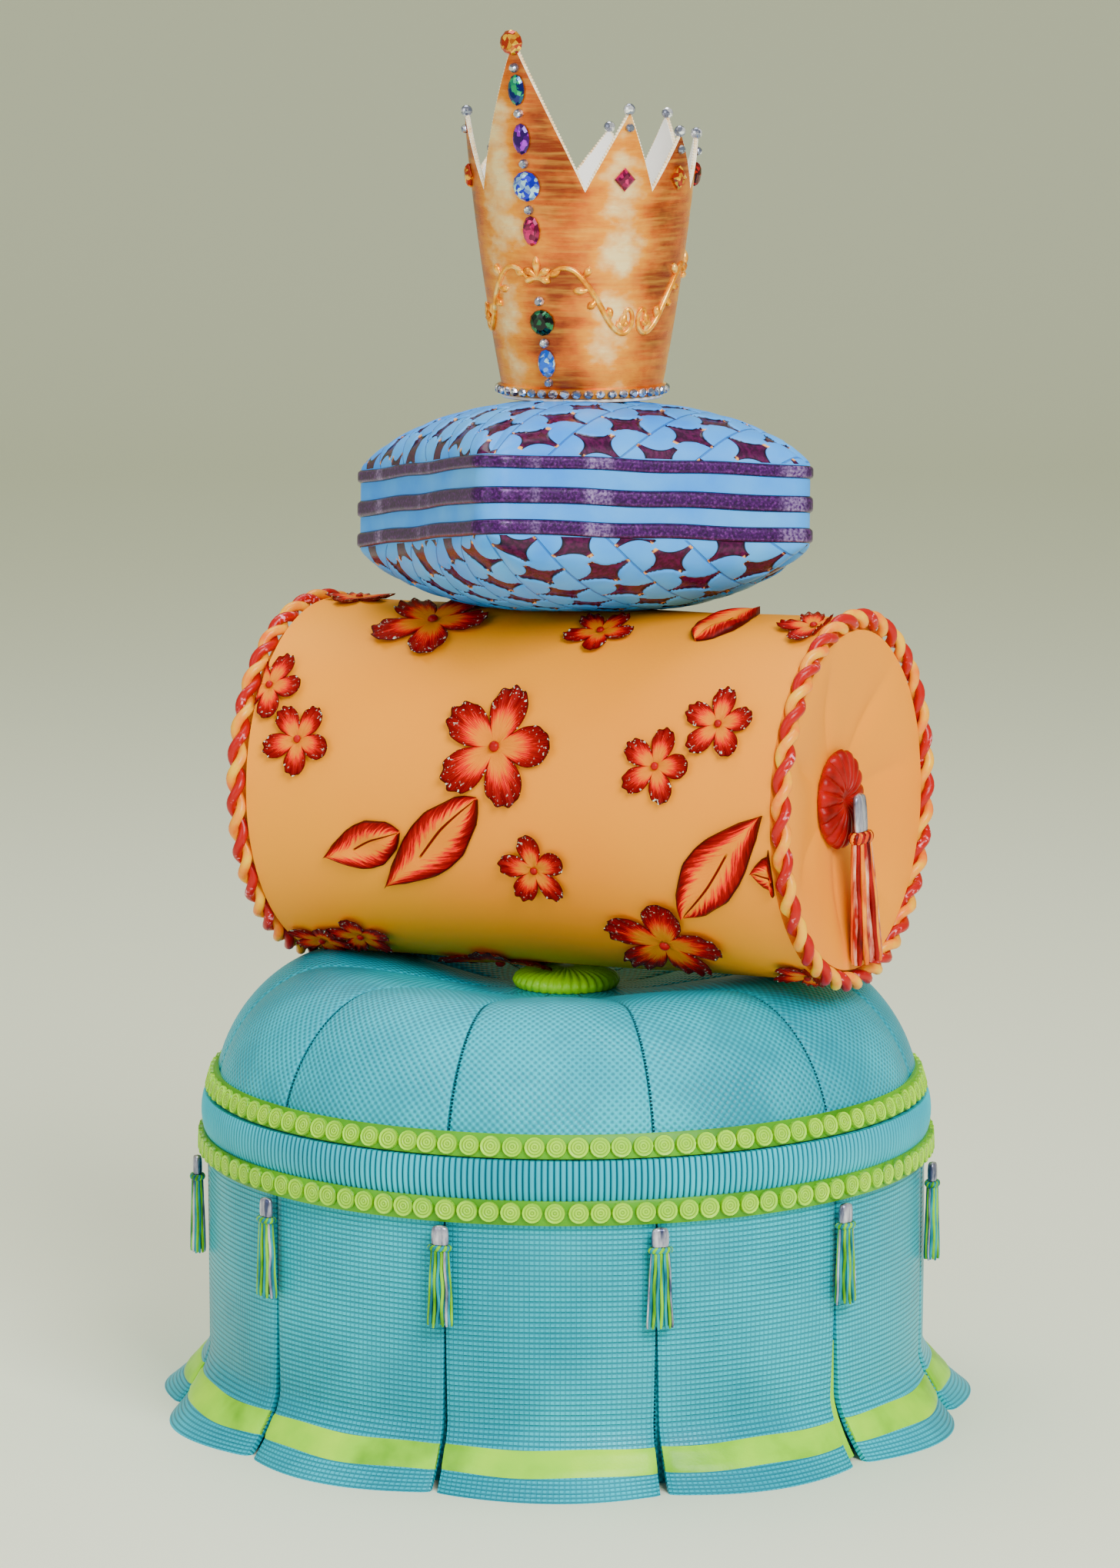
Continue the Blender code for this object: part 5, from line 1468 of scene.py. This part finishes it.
def scroll_arm(steps=110):
    """Angle and height along one arm, from the heading summed up."""
    s = np.linspace(0, 1, steps)
    heading = np.interp(s, HEADING_AT, HEADING)
    heading = np.convolve(np.pad(heading, 4, "edge"), np.full(9, 1 / 9), "valid")
    pace = 1 - 0.45 * smooth((s - 0.6) / 0.4)
    both = joined(np.cumsum(np.cos(heading) * pace), np.cumsum(np.sin(heading) * pace))
    return mixed(*ARM_BOX, (both - both.min(0)) / (both.max(0) - both.min(0)))


def relief(path, radius):
    """A bar over the crown at every spray, along a path of angle and height, sunk half way in."""
    places = on_crown(turns[:, None] + path[:, 0], path[:, 1], 0.0003)
    return tube(places, radius, unit((places - [TOWER_X, 0, 0]) * [1, 1, 0]))

# %% [markdown]
# A leaf is a shorter bar whose heading turns evenly. The leaves leave the arm where a list says.

# %% Leaves of the scrolls
def bud(root, heading, reach, curl, flip=1):
    """A leaf as a short bent bar from a root in angle and height."""
    bend = heading + curl * BUD_S
    step = joined(np.cos(bend) * ACROSS, np.sin(bend)) * reach / len(BUD_S)
    return relief((root + np.cumsum(step, 0) - step[0]) * [flip, 1], bud_girth)


BUD_S = np.linspace(0, 1, 12)
arm = scroll_arm()
girth = 0.0016 * np.sin(np.linspace(0.35, pi - 0.25, len(arm))) ** 0.5
bud_girth = 0.0021 * np.sin(pi * np.clip(BUD_S**1.6 * 0.93 + 0.06, 0, 1)) ** 0.8
# where on the arm, its heading there, its length and how it bends
BUDS = (
    (0.14, -2.2, 0.0080, -0.8), (0.28, 0.5, 0.0080, 0.9), (0.36, -2.6, 0.0095, -0.9),
    (0.42, -2.0, 0.0075, -0.6), (0.56, 1.2, 0.0085, 0.9), (0.63, 0.8, 0.0115, 0.6),
    (0.68, 1.6, 0.0080, 0.8), (1.0, -1.6, 0.0050, 0.9),
)
# the height it starts at, its heading, its length and how it bends
SPRAY = ((SPRAY_Z, 2.2, 0.0095, 0.7), (SPRAY_Z - 0.0005, 2.9, 0.0080, 0.9))
turns = FRONT + SPRAY_AT + np.arange(SPRAYS) * tau / SPRAYS
sheets = [bud((0.0, SPRAY_Z), pi / 2, 0.0125, 0.0)]
for side in (-1, 1):
    sheets.append(relief(arm * [side, 1], girth))
    for at, *shape in BUDS:
        sheets.append(bud(arm[round(at * (len(arm) - 1))], *shape, side))
    for root_z, *shape in SPRAY:
        sheets.append(bud((0.0, root_z), *shape, side))
build("crown_scrolls", sheets, [GOLD_RELIEF], "gold_leaf")

# %% [markdown]
# ## Stones
# A cut stone is a short stack of rings: the girdle, a slanting crown and a flat table. One
# function makes all of them, from their half width, half height and number of sides. They lie on
# the crown where its face is, tilted with it.

# %% A cut stone
def jewel(name, base, bright, metallic=0.6):
    """Bright candied colour with light and dark flecks of painted facet glints and shade, glossy."""
    look = Look(name, roughness=0.08, Metallic=metallic, Coat_Weight=0.3, Coat_Roughness=0.04)
    facet_glints = look.node("TexVoronoi", {"Vector": look.place(), "Scale": 420.0})
    pick = look.split(facet_glints.outputs["Color"])[0]
    # painted facet glints and shade: each cell is mixed between the dark and the bright colour
    look.colour(look.mix(look.grade(pick, 0.45, 0.95), base, bright))
    return look.material


CLEAR = jewel("clear_stone", (128, 132, 148), (250, 250, 255), 0.8)
AMBER = jewel("amber_stone", (150, 66, 0), (248, 190, 60))
BLUE_GREEN = jewel("blue_green_stone", (0, 44, 96), (24, 160, 110))
PURPLE = jewel("purple_stone", (56, 0, 90), (160, 50, 204))
OPAL = jewel("opal_stone", (24, 70, 180), (190, 226, 236))
MAGENTA = jewel("magenta_stone", (96, 0, 60), (196, 26, 120))
GREEN = jewel("dark_green_stone", (4, 14, 14), (30, 96, 66))
SKY = jewel("light_blue_stone", (50, 110, 200), (196, 228, 250))
RED_STONE = jewel("dark_red_stone", (66, 0, 8), (180, 30, 30))


stone_looks = [CLEAR, AMBER, BLUE_GREEN, PURPLE, OPAL, MAGENTA, GREEN, SKY, RED_STONE]
# the outline of half a cut stone: shares of its width and of its depth
CUT_REACH = np.array([0.0, 0.9, 1.0, 1.0, 0.82, 0.52, 0.0])[:, None]
CUT_UP = np.array([-0.1, -0.1, 0.15, 0.3, 0.72, 1.0, 1.0])[:, None]


def stone(look, angle, z, half_w, half_h, depth, sides=12):
    """Rings of a cut stone, carried onto the crown's face and leaned as the face leans."""
    a = row(0, tau, sides + 1)
    up = CUT_UP * depth
    side, rise = half_w * CUT_REACH * np.cos(a), half_h * CUT_REACH * np.sin(a)
    lean = np.arctan((crown_reach(z + 0.001) - crown_reach(z - 0.001)) / 0.002)
    local = joined(up * cos(lean) + rise * sin(lean), side, rise * cos(lean) - up * sin(lean))
    grid = about(local + [crown_reach(z), 0, 0], angle) + [TOWER_X, 0, z]
    return grid, joined(a, up), stone_looks.index(look)

# %% [markdown]
# Thirteen stones stand in a row down the tall tip, and each low tip has a small stone, a square
# one and a ball.

# %% Stones in place
def spine_angle(z):
    """The row of stones down the tall tip leans a little."""
    return FRONT + radians(-23.5 - 60 * (z - 0.545))


# look, height, half width and half height of the stones down the tall tip
SPINE = (
    (CLEAR, 0.7062, 0.0026, 0.0026), (BLUE_GREEN, 0.6950, 0.0048, 0.0080), (CLEAR, 0.6831, 0.0026, 0.0026),
    (PURPLE, 0.6702, 0.0048, 0.0080), (CLEAR, 0.6576, 0.0026, 0.0026), (OPAL, 0.6461, 0.0078, 0.0078),
    (CLEAR, 0.6340, 0.0026, 0.0026), (MAGENTA, 0.6233, 0.0048, 0.0078), (CLEAR, 0.5872, 0.0026, 0.0026),
    (GREEN, 0.5761, 0.0068, 0.0068), (CLEAR, 0.5655, 0.0026, 0.0026), (SKY, 0.5549, 0.0048, 0.0074),
    (CLEAR, 0.5450, 0.0024, 0.0024),
)
STONE_DEPTH, BALL_R, SHARP_CUT = 0.0034, 0.0031, radians(18)
sheets = [stone(look, spine_angle(z), z, *size, STONE_DEPTH) for look, z, *size in SPINE]
sheets.append(stone(AMBER, FRONT + TALL_TIP[1], TALL_TIP_Z, 0.0066, 0.0066, 0.0048))
ball_t = column(0, pi, 9)
ball = turned(BALL_R * np.sin(ball_t), BALL_R * np.cos(ball_t), row(0, tau, 15))
ball_plan = joined(ball_t, ball[..., 0])
colours = (MAGENTA, AMBER, RED_STONE, BLUE_GREEN, AMBER, PURPLE, RED_STONE, AMBER)
for number, (top_z, lean) in enumerate(LOW_TIPS):
    middle = FRONT + TALL_TIP[2] + (number + 0.5) * LOW_TIP_ANGLE
    angle = middle + radians(lean)
    sheets.append(stone(CLEAR, angle, top_z - 0.0075, 0.0024, 0.0024, 0.0026))
    low_place = (mixed(middle, angle, 0.5), VALLEY_Z + 0.0065)
    sheets.append(stone(colours[number], *low_place, 0.0058, 0.0062, STONE_DEPTH, sides=4))
    sheets.append((ball + on_crown(angle, top_z + 0.0018, -0.0010), ball_plan, 0))
build("crown_stones", sheets, stone_looks, "gold_leaf", sharp=SHARP_CUT)

# %% [markdown]
# A row of forty four small clear stones closes the crown's foot, each with few faces. They are
# spread by an array of angles and set outwards together, onto the rim.

# %% Foot stones
FOOT_STONES, FOOT_STONE = 44, (0.0027, 0.0023, 0.0022)
spread = FRONT + (np.arange(FOOT_STONES) + 0.5) * tau / FOOT_STONES
level = CROWN_FOOT + CROWN_RIM_H / 2
circle = [stone(CLEAR, angle, level, *FOOT_STONE, sides=8) for angle in spread]
outward = joined(np.cos(spread), np.sin(spread), 0)[:, None, None] * CROWN_RIM
grids = np.stack([grid for grid, *_ in circle]) + outward
build("foot_stones", [(grids, circle[0][1])], [CLEAR], "gold_leaf", sharp=SHARP_CUT)

# %% [markdown]
# ## The crown's disc
# The white disc under the crown has a soft rim, and its foot is let into the pillow's slope, so
# that the crown stands level. It is a turned outline.

# %% Crown's disc
PLATE_LOW, PLATE_HIGH, PLUG_LOW = 0.5345, 0.5365, 0.5200
swing = np.linspace(-pi / 2, pi / 2, 9)
middle_z, thick = (PLATE_LOW + PLATE_HIGH) / 2, (PLATE_HIGH - PLATE_LOW) / 2
rim_r, rim_z = PLATE_R - thick + thick * np.cos(swing), middle_z + thick * np.sin(swing)
outline_r = stacked([0.0, PLUG_R, PLUG_R], rim_r, [0.0])[:, None]
outline_z = stacked([PLUG_LOW, PLUG_LOW, PLATE_LOW], rim_z, [PLATE_HIGH])[:, None]
angle = row(0, tau, 129)
grid = turned(outline_r, outline_z, angle) + [TOWER_X, 0, 0]
plan = joined(angle, outline_z)
dress("crown_plate", [(grid, plan)], [WHITE], "white_paste")

# %% [markdown]
# ## Floor, light and camera
# A plain pale floor sweeps up far behind, with no corner to be seen, and fades a little upwards.

# %% Floor
def sweep():
    """A level floor that curves up into a wall far behind."""
    bend = np.linspace(0, pi / 2, 16)
    y = stacked([-12.0, 0.0], 5.0 + 2.5 * np.sin(bend), [7.5])
    z = stacked([0.0, 0.0], 2.5 * (1 - np.cos(bend)), [9.0])
    x = np.linspace(-12, 12, 9)
    return joined(x[None, :], y[:, None], z[:, None])


def stand(name, data):
    """An object in the scene for a mesh, a lamp or a camera."""
    thing = bpy.data.objects.new(name, data)
    bpy.context.scene.collection.objects.link(thing)
    return thing


points = sweep()
mesh = bpy.data.meshes.new("floor")
mesh.from_pydata(points.reshape(-1, 3).tolist(), [], squares(*points.shape[:2]).tolist())
mesh.shade_smooth()
look = Look("pale_floor", roughness=0.6)
height = look.split(look.place())[2]
fade = ((0.0, (240, 244, 226)), (0.35, (224, 232, 194)), (1.0, (214, 216, 166)))
look.colour(look.ramp(look.grade(height, 0.0, 5.0), fade))
mesh.materials.append(look.material)
floor = stand("floor", mesh)

# %% [markdown]
# The lamps are square and broad, so that shadows are soft. The strongest stands in front at the
# right, a weak one in front at the left and one above. A pale surround fills the shadows.

# %% Light
def softbox(name, place, size, watts):
    """A square area light that faces the middle of the cake."""
    data = bpy.data.lights.new(name, "AREA")
    data.energy, data.size = watts, size
    lamp = stand(name, data)
    lamp.location = place
    lamp.rotation_euler = (MIDDLE - Vector(place)).to_track_quat("-Z", "Y").to_euler()


MIDDLE = Vector((0, 0, 0.35))
softbox("key", (1.05, -2.2, 2.0), 1.4, 100)
softbox("fill", (-2.0, -1.7, 1.3), 2.0, 20)
softbox("top", (-0.3, 0.5, 2.8), 1.8, 46)
world = bpy.data.worlds.new("surround")
world.use_nodes = True
surround = world.node_tree.nodes["Background"].inputs
surround["Color"].default_value = tint(244, 244, 236)
surround["Strength"].default_value = 0.55
bpy.context.scene.world = world

# %% [markdown]
# The camera stands where it was for the picture: three metres away, a little above the cake's
# top and tilted down, through a long lens.

# %% Camera
FOCAL, PICTURE, SENSOR = 7713, 2039, 36.0  # lens and tall side of the picture in pixels; millimetres
data = bpy.data.cameras.new("camera")
data.sensor_width, data.lens = SENSOR, FOCAL * SENSOR / PICTURE
camera = stand("camera", data)
camera.location = (-0.0033, -3.087, 0.8013)
camera.rotation_euler = (pi / 2 - 0.1515, 0, 0)
bpy.context.scene.camera = camera
print("camera", tuple(round(v, 3) for v in camera.location))
